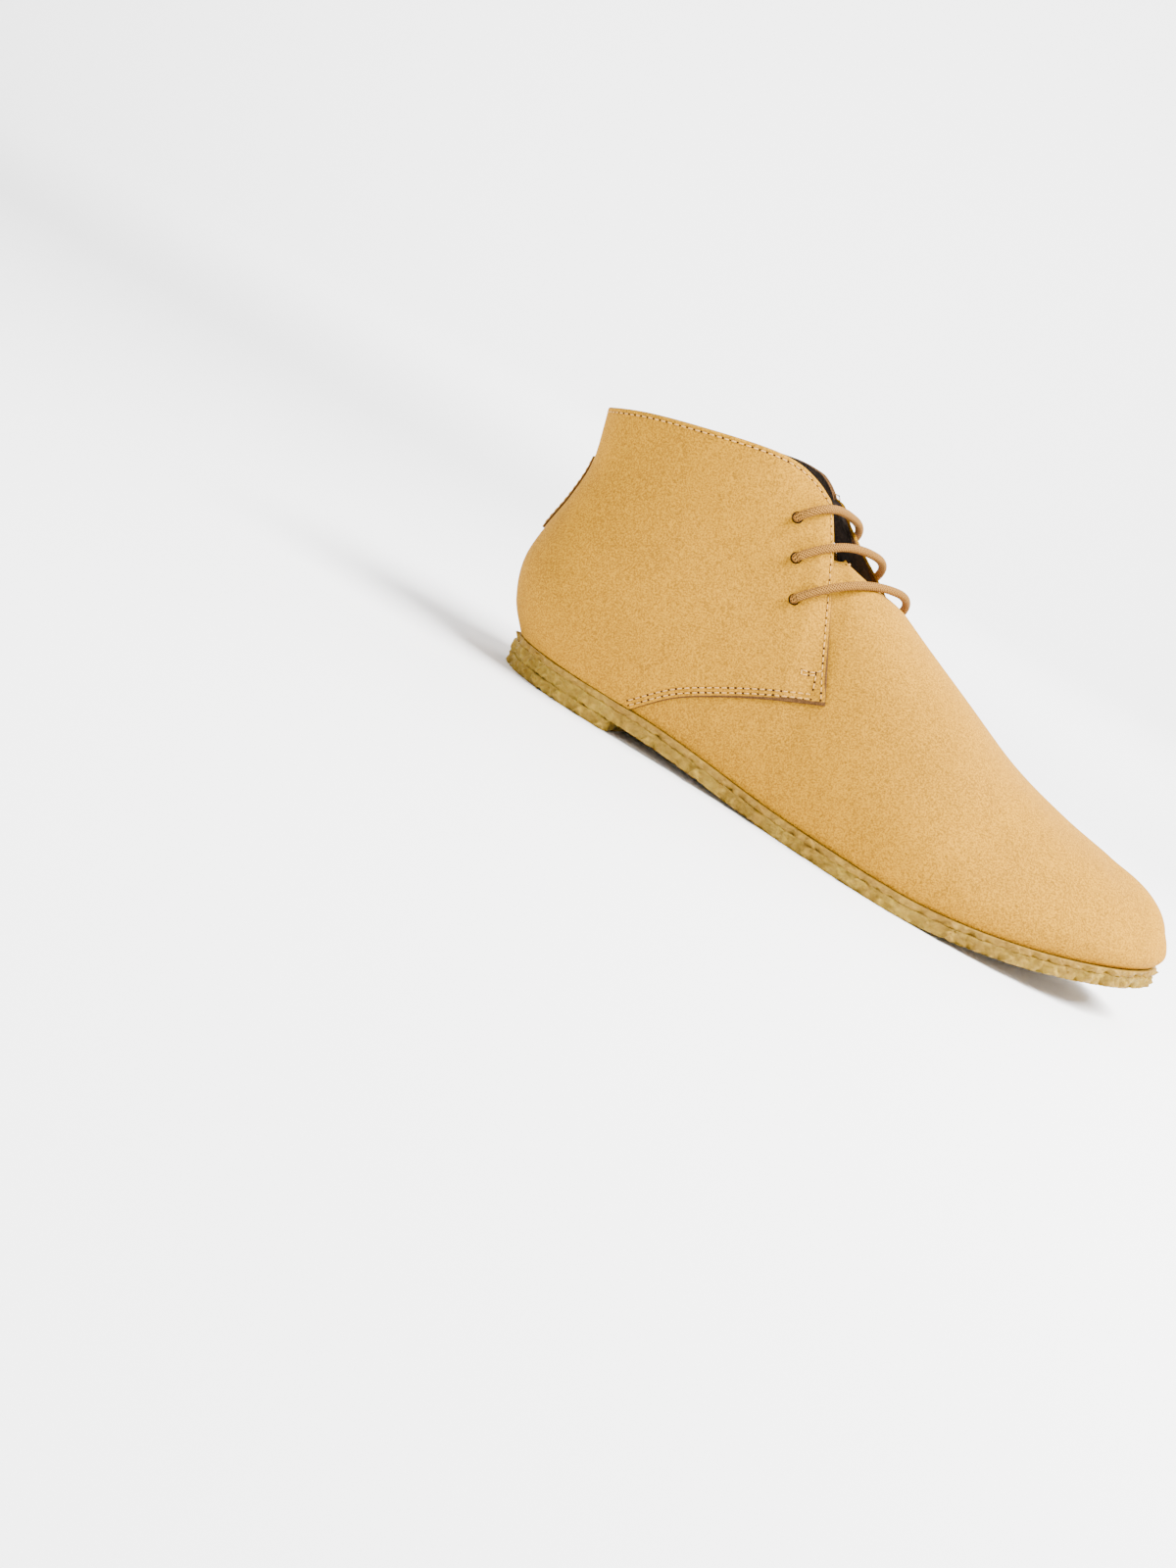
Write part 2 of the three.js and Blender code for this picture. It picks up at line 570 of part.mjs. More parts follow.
// ---------- the boot ----------
const SAND = 0xc9a063;
const CREPE = 0xb79a56;
const PIECES = [
  { name: 'heel', make: makeHeel, color: CREPE, roughness: 0.85 },
  { name: 'outsole', make: makeOutsole, color: 0xbfa25c, roughness: 0.85 },
  { name: 'midsole', make: makeMidsole, color: 0x9d8250, roughness: 0.8 },
  { name: 'insole', make: makeInsole, color: 0xb08d62, roughness: 0.8 },
  { name: 'upper', make: makeUpper, color: SAND, roughness: 0.95 },
  { name: 'tongue', make: makeTongue, color: 0xc2995e, roughness: 0.95 },
  { name: 'quarter_lateral', make: () => makeQuarter('lateral'), color: 0xc59b5e, roughness: 0.95 },
  { name: 'quarter_medial', make: () => makeQuarter('medial'), color: 0xc59b5e, roughness: 0.95 },
  { name: 'back_strip', make: makeBackStrip, color: 0xb98d52, roughness: 0.95 },
  { name: 'lace', make: makeLace, color: 0x96703f, roughness: 0.9 },
];

const boot = new THREE.Group();
for (const { name, make, color, roughness } of PIECES) {
  const mesh = new THREE.Mesh(
    toGeometry(make()),
    new THREE.MeshStandardMaterial({ color, roughness, metalness: 0 }),
  );
  mesh.name = name;
  boot.add(mesh);
}
const box = new THREE.Box3().setFromObject(boot);
boot.position.set(-(box.min.x + box.max.x) / 2, -(box.min.y + box.max.y) / 2, 0);
boot.updateMatrixWorld(true);

export default boot;
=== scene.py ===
# %% [markdown]
# # A desert boot, right foot
# A desert boot is a very plain boot: a vamp that runs on into a short tongue, two quarters laid
# over it and laced across the instep, and a thick sole of natural crepe. This lesson builds its
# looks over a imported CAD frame. Every surface is a formula on a grid, worked out with numpy, so
# each cell can be read as "which numbers go in, which shape comes out".

# %% The frame and the units
import math

import bmesh
import bpy
import numpy as np
from mathutils import Matrix, Vector


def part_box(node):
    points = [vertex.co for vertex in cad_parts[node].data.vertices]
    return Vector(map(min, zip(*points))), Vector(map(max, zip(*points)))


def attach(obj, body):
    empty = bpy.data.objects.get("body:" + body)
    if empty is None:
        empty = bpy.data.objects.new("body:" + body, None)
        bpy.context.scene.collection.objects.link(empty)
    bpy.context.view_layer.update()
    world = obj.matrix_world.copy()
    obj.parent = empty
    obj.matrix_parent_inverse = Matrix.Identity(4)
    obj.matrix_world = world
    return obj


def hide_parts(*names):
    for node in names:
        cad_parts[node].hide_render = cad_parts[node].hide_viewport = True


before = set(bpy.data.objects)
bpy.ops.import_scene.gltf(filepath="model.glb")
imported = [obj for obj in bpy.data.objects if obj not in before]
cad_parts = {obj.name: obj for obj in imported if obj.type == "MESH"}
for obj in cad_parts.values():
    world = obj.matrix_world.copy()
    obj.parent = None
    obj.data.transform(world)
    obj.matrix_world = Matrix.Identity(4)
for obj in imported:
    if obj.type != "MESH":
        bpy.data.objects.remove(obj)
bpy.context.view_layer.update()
MM = 0.001
LATERAL, MEDIAL = -1.0, 1.0        # the outer side of a right foot lies towards -Y
print("nodes:", ", ".join(sorted(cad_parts)))

# %% [markdown]
# ## The last
# A shoemaker stretches the upper over a last, a block in the shape of the foot. Everything on
# the boot follows it, so it comes first. It could be sculpted, but then no piece would know
# where the others are. Here it is two short tables: the sole's outline, and ribs that climb from
# the sole's edge to the ridge over the foot, or to the opening round the ankle. All sizes in the
# tables are millimetres, with the heel's back at x = 0.

# %% Sizes and tables of the last
SOLE_LENGTH = 298.0
OUTSOLE_THICK, MIDSOLE_THICK, HEEL_LIFT = 5.2, 2.5, 5.0
GAP = 0.3
ARCH_FRONT, SPRING_START, TOE_SPRING, SPRING_POWER = 150.0, 196.0, 18.0, 1.75
BREAST_LATERAL, BREAST_MEDIAL = 60.0, 66.0
LEDGE = 2.0
WALL, QUARTER_THICK, STRIP_THICK, INSOLE_THICK = 1.6, 1.2, 0.9, 2.2
SOLE_TOP = OUTSOLE_THICK + GAP + MIDSOLE_THICK


def table(columns, rows):
    """Named columns: the first word of columns names the first number of every row, and so on."""
    return dict(zip(columns.split(), np.array(rows, float).T))


OUTLINE = table("station centre half", [
    (0.00, 0.0, 0.0),
    (0.04, -0.2, 22.0),
    (0.10, -0.5, 31.5),
    (0.20, -0.8, 35.8),
    (0.33, -2.4, 35.2),
    (0.45, -4.2, 38.4),
    (0.55, -4.4, 44.6),
    (0.63, -3.2, 49.8),
    (0.72, 0.4, 52.0),
    (0.82, 3.8, 48.8),
    (0.91, 6.4, 39.6),
    (0.97, 8.0, 25.6),
    (1.00, 8.5, 0.0),
])
RIBS = table("station x centre half z arch full swell", [
    (0.00, -13.5, 0.0, 0.0, 123.0, 0.00, 2.0, 10.5),
    (0.04, -10.0, 0.0, 14.0, 124.0, 0.00, 2.0, 9.0),
    (0.10, 0.5, 0.0, 24.5, 126.0, 0.00, 2.0, 6.5),
    (0.20, 25.0, 0.0, 31.5, 132.0, 0.00, 2.0, 4.5),
    (0.33, 60.0, 0.0, 28.5, 139.0, 0.15, 2.0, 3.0),
    (0.41, 83.0, 0.0, 15.0, 136.0, 0.60, 2.0, 2.5),
    (0.46, 98.0, 0.0, 0.0, 124.0, 1.00, 2.0, 2.5),
    (0.53, 123.0, 1.0, 0.0, 108.0, 1.00, 2.1, 2.5),
    (0.60, 150.0, 2.5, 0.0, 94.0, 1.00, 2.2, 2.5),
    (0.68, 180.0, 4.0, 0.0, 81.0, 1.00, 2.3, 2.5),
    (0.76, 207.0, 5.5, 0.0, 69.0, 1.00, 2.3, 2.5),
    (0.85, 233.0, 7.0, 0.0, 60.5, 1.00, 2.5, 2.5),
    (0.93, 252.0, 8.0, 0.0, 56.2, 1.00, 2.8, 2.5),
    (1.00, 263.0, 8.5, 0.0, 54.4, 1.00, 3.0, 2.5),
])
SWELL = table("height amount", [
    (0.00, 0.00),
    (0.11, 0.72),
    (0.25, 1.00),
    (0.40, 0.66),
    (0.55, 0.12),
    (0.70, -0.26),
    (0.85, -0.20),
    (1.00, 0.00),
])
print("tables:", len(OUTLINE["station"]), "outline rows,", len(RIBS["station"]), "ribs")

# %% [markdown]
# A table's rows are joined by a smooth curve, a cubic between each two rows whose slope at a row
# is that of its neighbours. A station is turned into t by an arc cosine first, which makes the
# outline close with a round end at heel and toe instead of a point.

# %% Smooth curves through the tables
def smooth_column(at, values):
    """Cubic Hermite: (2s3-3s2+1) a + (s3-2s2+s) h a' + (3s2-2s3) b + (s3-s2) h b' on each stretch."""
    slope = np.gradient(values)
    slope[1:-1] = (values[2:] - values[:-2]) / (at[2:] - at[:-2])
    slope[0] = (values[1] - values[0]) / (at[1] - at[0])
    slope[-1] = (values[-1] - values[-2]) / (at[-1] - at[-2])

    def look_up(t):
        i = np.clip(np.searchsorted(at, t, side="right") - 1, 0, len(at) - 2)
        h = at[i + 1] - at[i]
        s = np.clip((t - at[i]) / h, 0, 1)
        return ((2 * s**3 - 3 * s**2 + 1) * values[i] + (s**3 - 2 * s**2 + s) * h * slope[i]
                + (3 * s**2 - 2 * s**3) * values[i + 1] + (s**3 - s**2) * h * slope[i + 1])

    return look_up


def turn(station):
    """t = acos(1 - 2 station) / pi, so that equal steps of t crowd at heel and toe."""
    return np.arccos(np.clip(1 - 2 * np.asarray(station, float), -1, 1)) / math.pi


def ease(s):
    """3 s squared less 2 s cubed, held at 0 and 1 outside."""
    c = np.clip(s, 0, 1)
    return c * c * (3 - 2 * c)


def bell(distance, middle, width):
    """exp(-((distance - middle) / width)^2): 1 in the middle and nearly 0 two widths away."""
    return np.exp(-((distance - middle) / width) ** 2)


def stretches(*parts):
    """Even steps over each part (from, to, count), and the parts joined end to end."""
    return np.concatenate([np.linspace(*parts[0])] + [np.linspace(*part)[1:] for part in parts[1:]])


outline_centre = smooth_column(turn(OUTLINE["station"]), OUTLINE["centre"])
outline_half = smooth_column(turn(OUTLINE["station"]), OUTLINE["half"])
rib = {name: smooth_column(turn(RIBS["station"]), RIBS[name]) for name in list(RIBS)[1:]}
swell_at = smooth_column(SWELL["height"], SWELL["amount"])


def tread(x):
    """Underside of the outsole: the heel lift eased away over the arch, plus the toe spring."""
    heel_end = (BREAST_LATERAL + BREAST_MEDIAL) / 2
    arch = HEEL_LIFT * (1 - ease((x - heel_end) / (ARCH_FRONT - heel_end)))
    rise = np.clip((x - SPRING_START) / (SOLE_LENGTH - SPRING_START), 0, 2)
    return arch + TOE_SPRING * rise**SPRING_POWER


def edge_point(t, side, inset=0.0):
    """The sole's edge: x = L (1 - cos pi t) / 2, y = centre + side half, moved in by inset."""
    def raw(u):
        c = np.clip(u, 0, 1)
        return SOLE_LENGTH * (1 - np.cos(math.pi * c)) / 2, outline_centre(c) + side * outline_half(c)

    x, y = raw(t)
    (xa, ya), (xb, yb) = raw(t - 1e-3), raw(t + 1e-3)
    run = np.hypot(xb - xa, yb - ya)
    out_x, out_y = -side * (yb - ya) / run, side * (xb - xa) / run
    out_x = np.where(t < 1e-6, -1.0, np.where(t > 1 - 1e-6, 1.0, out_x))
    out_y = np.where((t < 1e-6) | (t > 1 - 1e-6), 0.0, out_y)
    return x - out_x * inset, y - out_y * inset, out_x, out_y


def last(p, w):
    """Point of the last. p goes once round from the back seam, by the lateral side to the toe at
    0.5 and back; w climbs a rib. Across goes as 1 - cos^k and up as sin^k, a rounded arch, mixed
    with a straight climb by the rib's arch value; the swell pushes the wall out sideways."""
    p, w = np.broadcast_arrays(np.asarray(p, float), np.asarray(w, float))
    around = np.mod(p, 1.0)
    side = np.where(around <= 0.5, LATERAL, MEDIAL)
    t = np.where(around <= 0.5, 2 * around, 2 - 2 * around)
    foot_x, foot_y, out_x, out_y = edge_point(t, side, LEDGE)
    foot_z = tread(foot_x) + SOLE_TOP + GAP
    arch = np.clip(rib["arch"](t), 0, 1)
    top_x = rib["x"](t)
    top_y = rib["centre"](t) + side * np.maximum(rib["half"](t), 0)
    power = 2 / rib["full"](t)
    angle = math.pi * w / 2
    across = w + (1 - np.maximum(np.cos(angle), 0) ** power - w) * arch
    up = w + (np.sin(angle) ** power - w) * arch
    t0, t1 = np.maximum(t - 1e-3, 0), np.minimum(t + 1e-3, 1)
    slope = (rib["z"](t1) - rib["z"](t0)) / (rib["x"](t1) - rib["x"](t0))
    amount = swell_at(np.clip(up, 0, 1))
    swell = rib["swell"](t) * (np.maximum(amount, 0) + (1 - arch) * np.minimum(amount, 0))
    x = foot_x + across * (top_x - foot_x)
    y = foot_y + across * (top_y - foot_y)
    z = foot_z + up * (rib["z"](t) + arch * slope * (x - top_x) - foot_z)
    return np.stack([x + out_x * swell, y + out_y * swell, z], -1)


def unit(v):
    """Each row divided by its length."""
    return v / np.maximum(np.linalg.norm(v, axis=-1, keepdims=True), 1e-12)


def outward(p, w):
    """The last's normal: the cross product of the slopes along p and along w."""
    along_p = last(np.add(p, 2e-4), w) - last(np.subtract(p, 2e-4), w)
    along_w = last(p, np.minimum(np.add(w, 6e-4), 1)) - last(p, np.maximum(np.subtract(w, 6e-4), 0))
    return unit(np.cross(along_p, along_w))


_low, _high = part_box("outsole")
_t = np.linspace(0, 1, 400)
_y = np.concatenate([edge_point(_t, s)[1] for s in (LATERAL, MEDIAL)])
PLACE = np.array([_low[0] / MM, (_low[1] + _high[1]) / 2 / MM - (_y.min() + _y.max()) / 2, 0.0])
print("the last stands at", PLACE.round(2), "mm from the frame's origin")

# %% [markdown]
# ## From grids to meshes
# A grid of points becomes a mesh by joining each four neighbours. Two grids, one a leather's
# thickness inside the other, become a closed shell when their four edges are joined by a rim.
# Blender's Solidify could give the thickness too, but a rim made by hand can have its own dark
# cut-edge material and its own roundness.

# %% Mesh helpers
def to_frame(points):
    """Millimetres on the last to metres in the CAD frame."""
    return (np.asarray(points).reshape(-1, 3) + PLACE) * MM


def quads(rows, columns, start=0, flip=False):
    """Corners of every cell of a grid whose point (i, j) is number start + i * columns + j."""
    i, j = np.meshgrid(np.arange(rows - 1), np.arange(columns - 1), indexing="ij")
    a = (start + i * columns + j).ravel()
    cells = np.stack([a, a + columns, a + columns + 1, a + 1], -1)
    return cells[:, ::-1] if flip else cells


def make_piece(name, points, faces, materials, body="root", replaces=(), sharp=40,
               face_material=None, uv=None, attributes=None, merge=0.0):
    """Points in millimetres and faces of corner numbers into one object that rides on a body."""
    mesh = bpy.data.meshes.new(name)
    mesh.from_pydata(to_frame(points).tolist(), [], [tuple(f) for f in np.asarray(faces).tolist()])
    for material in materials:
        mesh.materials.append(material)
    if face_material is not None:
        mesh.polygons.foreach_set("material_index", np.asarray(face_material, np.int32))
    for key, values in (attributes or {}).items():
        data = mesh.attributes.new(key, "FLOAT", "POINT").data
        data.foreach_set("value", np.asarray(values, np.float32).ravel())
    if uv is not None:
        corners = np.empty(len(mesh.loops), np.int32)
        mesh.loops.foreach_get("vertex_index", corners)
        layer = mesh.uv_layers.new(name="UVMap")
        layer.data.foreach_set("uv", np.asarray(uv, np.float32)[corners].ravel())
    build = bmesh.new()
    build.from_mesh(mesh)
    if merge > 0:
        bmesh.ops.remove_doubles(build, verts=build.verts, dist=merge * MM)
        flat = [f for f in build.faces if f.calc_area() < 1e-14]
        bmesh.ops.delete(build, geom=flat, context="FACES")
    bmesh.ops.recalc_face_normals(build, faces=build.faces)
    build.to_mesh(mesh)
    build.free()
    mesh.polygons.foreach_set("use_smooth", np.ones(len(mesh.polygons), bool))
    mesh.set_sharp_from_angle(angle=math.radians(sharp))
    piece = bpy.data.objects.new(name, mesh)
    bpy.context.scene.collection.objects.link(piece)
    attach(piece, body)
    if replaces:
        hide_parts(*replaces)
    triangles = sum(len(f.vertices) - 2 for f in mesh.polygons)
    print(f"{name}: {len(mesh.vertices)} points, {triangles} triangles")
    return piece


RIM_STEPS = 3


def shell(outer, inner, bulge=0.18):
    """Closed shell of two grids. Each rim point is outer (1-s) + inner s, pushed out of the sheet
    by bulge sin(pi s), so that the cut edge is slightly round. Returns points, faces, rim mask."""
    rows, columns = outer.shape[:2]
    points = [outer.reshape(-1, 3), inner.reshape(-1, 3)]
    count = rows * columns
    faces = [quads(rows, columns), quads(rows, columns, count, True)]
    index = np.arange(count).reshape(rows, columns)
    loop = np.concatenate([index[0, :-1], index[:-1, -1], index[-1, :0:-1], index[:0:-1, 0]])
    step_in = np.concatenate([index[1, :-1], index[:-1, -2], index[-2, :0:-1], index[:0:-1, 1]])
    flat_outer, flat_inner = points[0], points[1]
    away = unit(flat_outer[loop] - flat_outer[step_in])
    around = len(loop)
    rings = [loop]
    total = 2 * count
    for k in range(1, RIM_STEPS):
        s = k / RIM_STEPS
        ring = flat_outer[loop] * (1 - s) + flat_inner[loop] * s
        points.append(ring + away * bulge * math.sin(math.pi * s))
        rings.append(np.arange(total, total + around))
        total += around
    rings.append(loop + count)
    for a, b in zip(rings[:-1], rings[1:]):
        faces.append(np.stack([a, np.roll(a, -1), np.roll(b, -1), b], -1))
    sheet = 2 * (rows - 1) * (columns - 1)
    faces = np.concatenate(faces)
    return np.concatenate(points), faces, (np.arange(len(faces)) >= sheet).astype(np.int32)


def waves(points, length, seed, count=20):
    """Smooth bumps about `length` mm across: the mean of many sine waves in seeded directions."""
    chance = np.random.default_rng(seed)
    heading = unit(chance.normal(size=(count, 3))) * chance.uniform(0.7, 1.4, (count, 1))
    phase = chance.uniform(0, 2 * math.pi, count)
    total = np.zeros(points.shape[:-1])
    for k in range(count):
        total += np.sin(points @ heading[k] * (2 * math.pi / length) + phase[k])
    return total / math.sqrt(count / 2)


print("helpers ready")

# %% [markdown]
# ## Side patterns
# A pattern cutter draws the quarter flat, as seen from the side. The same lines are kept here in
# a few points each, in x and z, with a smooth curve through them: the collar, the facing down to
# the quarter's corner, and the quarter's foot. To lay them on the last, a rib is followed until
# it meets the line. Halving the interval forty times finds the place for all ribs at once.

# %% Pattern lines and how they are found on the last
COLLAR_BACK = [(-30, 110), (-12, 113.5), (11, 121), (37, 127.3), (61, 132), (74, 132.4)]
COLLAR = {
    LATERAL: COLLAR_BACK + [(84, 129.5), (91, 125.5)],
    MEDIAL: COLLAR_BACK + [(79.5, 131), (84.5, 128)],
}
FACING = {
    LATERAL: [(94.5, 121.5), (103.5, 107.5), (113, 91.5), (124.5, 71.5), (134, 55)],
    MEDIAL: [(87.6, 124.4), (98, 114.5), (112.8, 105.2), (135.5, 92), (142.5, 78), (147, 61)],
}
FOOT_LINE = {
    LATERAL: [(134, 55), (114.5, 46.6), (95, 36.6), (77.5, 25.5), (58, 6)],
    MEDIAL: [(147, 61), (126, 51), (104, 39), (84, 26), (60, 5)],
}
VAMP_BACK = {
    LATERAL: [(115, 118), (111, 113), (104, 106), (99, 98), (103, 84), (108, 68), (98, 50), (68, 30),
              (40, 4)],
    MEDIAL: [(115, 118), (114.5, 113), (114, 107), (115.5, 99), (120, 84), (119, 68), (106, 52),
             (70, 32), (42, 4)],
}
EYELETS = {
    LATERAL: [(85, 113.5), (93, 99.5), (101, 85)],
    MEDIAL: [(96, 107.5), (110.5, 96.5), (127, 85)],
}


def through(points, samples=240):
    """Catmull-Rom curve: each stretch bends with the points before and after it."""
    q = np.array(points, float)
    q = np.concatenate([q[:1], q, q[-1:]])
    u = np.linspace(0, len(points) - 1, samples)
    i = np.minimum(u.astype(int), len(points) - 2)
    s = (u - i)[:, None]
    a, b, c, d = q[i], q[i + 1], q[i + 2], q[i + 3]
    return 0.5 * (2 * b + (c - a) * s + (2 * a - 5 * b + 4 * c - d) * s**2 + (3 * b - a - 3 * c + d) * s**3)


def halve(test, low, high, steps=40):
    """Where a rising test passes zero, for whole arrays, by halving the interval."""
    for _ in range(steps):
        middle = (low + high) / 2
        above = test(middle) > 0
        high = np.where(above, middle, high)
        low = np.where(above, low, middle)
    return (low + high) / 2


def collar_w(p, side):
    """w at which rib p reaches the collar line."""
    line = through(COLLAR[side] + [FACING[side][0]])

    def test(w):
        at = last(p, w)
        return at[..., 2] - np.interp(at[..., 0], line[:, 0], line[:, 1])

    return halve(test, np.full(np.shape(p), 0.5), np.ones(np.shape(p)))


def line_p(side, points, w):
    """p at which height w crosses a pattern line given as (x, z) points."""
    line = through(points)
    line = line[np.argsort(line[:, 1])]

    def test(t):
        at = last(t / 2 if side == LATERAL else 1 - t / 2, w)
        return at[..., 0] - np.interp(at[..., 2], line[:, 1], line[:, 0])

    t = halve(test, np.full(np.shape(w), 0.15), np.full(np.shape(w), 0.8))
    return t / 2


def find(side, x, z):
    """(h, w) where the last's side shows x and z, by Newton steps; h is p from the back seam."""
    h, w, e = 0.225, 0.7, 1e-4
    whole = (lambda v: v) if side == LATERAL else (lambda v: 1 - v)
    for _ in range(40):
        here = last(whole(h), w)
        along_h = (last(whole(h + e), w) - here) / e
        along_w = (here - last(whole(h), w - e)) / e
        det = along_h[0] * along_w[2] - along_w[0] * along_h[2]
        dx, dz = x - here[0], z - here[2]
        h = float(np.clip(h + np.clip((dx * along_w[2] - along_w[0] * dz) / det, -0.02, 0.02), 0.01, 0.49))
        w = float(np.clip(w + np.clip((along_h[0] * dz - along_h[2] * dx) / det, -0.1, 0.1), 0.01, 0.995))
    return h, w


def round_side(side, h):
    """h counts from the back seam on either side; p counts once round."""
    return h if side == LATERAL else 1 - h


print("top lateral eyelet on the last at", np.round(find(LATERAL, *EYELETS[LATERAL][0]), 3))

# %% [markdown]
# ## Camera and light
# The camera stands low beside the outer side, a little towards the toe, and is rolled, because
# the boot was seen tipped up on its toe while here it stands flat. The floor rises far away into
# a bowl, so no horizon line crosses the frame, and large soft lamps do the rest. Camera and
# lamps come before the pieces because they are the quickest thing to get wrong.

# %% Camera
AZIMUTH, ELEVATION, ROLL = math.radians(12), math.radians(11), math.radians(29)
LENS = 54.0
back = np.array([math.sin(AZIMUTH) * math.cos(ELEVATION), -math.cos(AZIMUTH) * math.cos(ELEVATION),
                 math.sin(ELEVATION)])
level = np.array([math.cos(AZIMUTH), math.sin(AZIMUTH), 0.0])
rise = np.cross(back, level)
right = math.cos(ROLL) * level + math.sin(ROLL) * rise
above = -math.sin(ROLL) * level + math.cos(ROLL) * rise
DISTANCE, ASIDE, DOWN = 1.0084, -0.034, 0.0542      # how the heel's back sits in the frame
heel_back = PLACE * MM
where = heel_back - ASIDE * right - DOWN * above + DISTANCE * back
camera = bpy.data.objects.new("camera", bpy.data.cameras.new("camera"))
camera.data.lens = LENS
camera.data.sensor_width = 36.0
camera.data.sensor_fit = "AUTO"
camera.data.clip_start = 0.02
camera.matrix_world = Matrix([
    (right[0], above[0], back[0], where[0]),
    (right[1], above[1], back[1], where[1]),
    (right[2], above[2], back[2], where[2]),
    (0, 0, 0, 1),
])
bpy.context.scene.collection.objects.link(camera)
bpy.context.scene.camera = camera
print("camera at", where.round(3), "m, above the floor")

# %% Lamps, sky and floor
def lamp(name, place, size, watts, target=(0.0, 0.0, 0.05)):
    """A square soft box at a place, turned to look at the target, which is most often the boot."""
    light = bpy.data.lights.new(name, "AREA")
    light.size = size
    light.energy = watts
    holder = bpy.data.objects.new(name, light)
    look = (Vector(place) - Vector(target)).to_track_quat("Z", "Y")
    holder.matrix_world = Matrix.Translation(Vector(place)) @ look.to_matrix().to_4x4()
    bpy.context.scene.collection.objects.link(holder)


lamp("key_box", (0.80, -0.16, 1.30), 0.9, 155.0)
lamp("fill_box", (-0.9, -1.0, 0.7), 1.0, 8.0)
lamp("rim_box", (0.3, 1.1, 1.0), 0.9, 14.0)
lamp("backdrop_box", (-0.3, 1.3, 1.9), 1.6, 230.0, target=(-0.3, 3.8, 1.0))

sky = bpy.data.worlds.new("sky")
sky.use_nodes = True
sky.node_tree.nodes["Background"].inputs["Color"].default_value = (1.0, 1.0, 1.0, 1.0)
sky.node_tree.nodes["Background"].inputs["Strength"].default_value = 0.62
bpy.context.scene.world = sky

FLOOR_RADIUS, BOWL_RADIUS, BOWL_RISE, FLOOR_SIDES = 2.2, 2.0, 3.4, 96
around = np.linspace(0, 2 * math.pi, FLOOR_SIDES + 1)[:-1]
turned = np.linspace(0, math.pi / 2, 18)
radius = np.concatenate([[0.4, 1.2, FLOOR_RADIUS], FLOOR_RADIUS + BOWL_RADIUS * np.sin(turned[1:])])
height = np.concatenate([[0, 0, 0], BOWL_RISE * (1 - np.cos(turned[1:]))])
ring = np.stack([np.outer(radius, np.cos(around)), np.outer(radius, np.sin(around)),
                 np.repeat(height[:, None], FLOOR_SIDES, 1)], -1)
floor_mesh = bpy.data.meshes.new("floor")
cells = [tuple(c) for c in quads(len(radius), FLOOR_SIDES).tolist()]
first = np.arange(len(radius) - 1) * FLOOR_SIDES
seam = np.stack([first + FLOOR_SIDES - 1, first + 2 * FLOOR_SIDES - 1, first + FLOOR_SIDES, first], -1)
cells += [tuple(c) for c in seam.tolist()] + [tuple(range(FLOOR_SIDES))]
floor_mesh.from_pydata(ring.reshape(-1, 3).tolist(), [], cells)
floor_mesh.polygons.foreach_set("use_smooth", np.ones(len(floor_mesh.polygons), bool))
floor = bpy.data.objects.new("floor", floor_mesh)
bpy.context.scene.collection.objects.link(floor)
paper = bpy.data.materials.new("floor_paper")
paper.use_nodes = True
paper.node_tree.nodes["Principled BSDF"].inputs["Base Color"].default_value = (0.92, 0.92, 0.92, 1)
paper.node_tree.nodes["Principled BSDF"].inputs["Roughness"].default_value = 0.9
floor_mesh.materials.append(paper)
print("floor flat to", FLOOR_RADIUS, "m, bowl to", BOWL_RISE, "m high")

# %% [markdown]
# ## Finishes
# Nubuck, crepe and woven cord each owe their look to a fine grain and to slow changes of tone.
# Pictures of real leather could be wrapped round the boot, but a pattern worked out in space
# has no seams and no stretch. Three node groups hold the effects, and each material places the
# one it needs with its own colours and sizes.

# %% A short way to write shader nodes
def node(tree, kind, inputs=None, **settings):
    """Adds a node; inputs maps a socket's name or number to a value or to another node's output."""
    made = tree.nodes.new(kind)
    for key, value in settings.items():
        setattr(made, key, value)
    for key, value in (inputs or {}).items():
        socket = made.inputs[key]
        if isinstance(value, bpy.types.NodeSocket):
            tree.links.new(value, socket)
        else:
            socket.default_value = value
    return made


def maths(tree, operation, a, b=0.0):
    """One Math node's result."""
    return node(tree, "ShaderNodeMath", {0: a, 1: b}, operation=operation).outputs[0]


def blend(tree, share, a, b):
    """Colour a turning into colour b with share; sockets 6, 7 and 2 are the Mix node's colours."""
    return node(tree, "ShaderNodeMix", {"Factor": share, 6: a, 7: b}, data_type="RGBA").outputs[2]


def noise(tree, where, scale, detail=2.0, rough=0.5, distortion=0.0):
    """Fractal noise from 0 to 1; scale is bumps per metre."""
    return node(tree, "ShaderNodeTexNoise", {"Vector": where, "Scale": scale, "Detail": detail,
                                             "Roughness": rough, "Distortion": distortion}).outputs["Fac"]


def spread(tree, value, low, high, to_low=0.0, to_high=1.0):
    """Stretches low..high to to_low..to_high and clamps."""
    made = node(tree, "ShaderNodeMapRange", {"Value": value, "From Min": low, "From Max": high,
                                             "To Min": to_low, "To Max": to_high}, clamp=True)
    return made.outputs["Result"]


def new_group(name, inputs, outputs):
    """An empty shader node group: inputs are (name, socket type, default), outputs (name, type)."""
    tree = bpy.data.node_groups.new(name, "ShaderNodeTree")
    for label, kind, default in inputs:
        socket = tree.interface.new_socket(label, in_out="INPUT", socket_type=kind)
        socket.default_value = default
    for label, kind in outputs:
        tree.interface.new_socket(label, in_out="OUTPUT", socket_type=kind)
    return tree, tree.nodes.new("NodeGroupInput").outputs, tree.nodes.new("NodeGroupOutput").inputs


def rgb(r, g, b):
    """A colour given as on a screen, 0 to 255, in linear light."""
    return tuple(((c / 255 + 0.055) / 1.055) ** 2.4 if c > 10 else c / 3294 for c in (r, g, b)) + (1.0,)


COLOUR, NUMBER = "NodeSocketColor", "NodeSocketFloat"
print("node helpers ready")

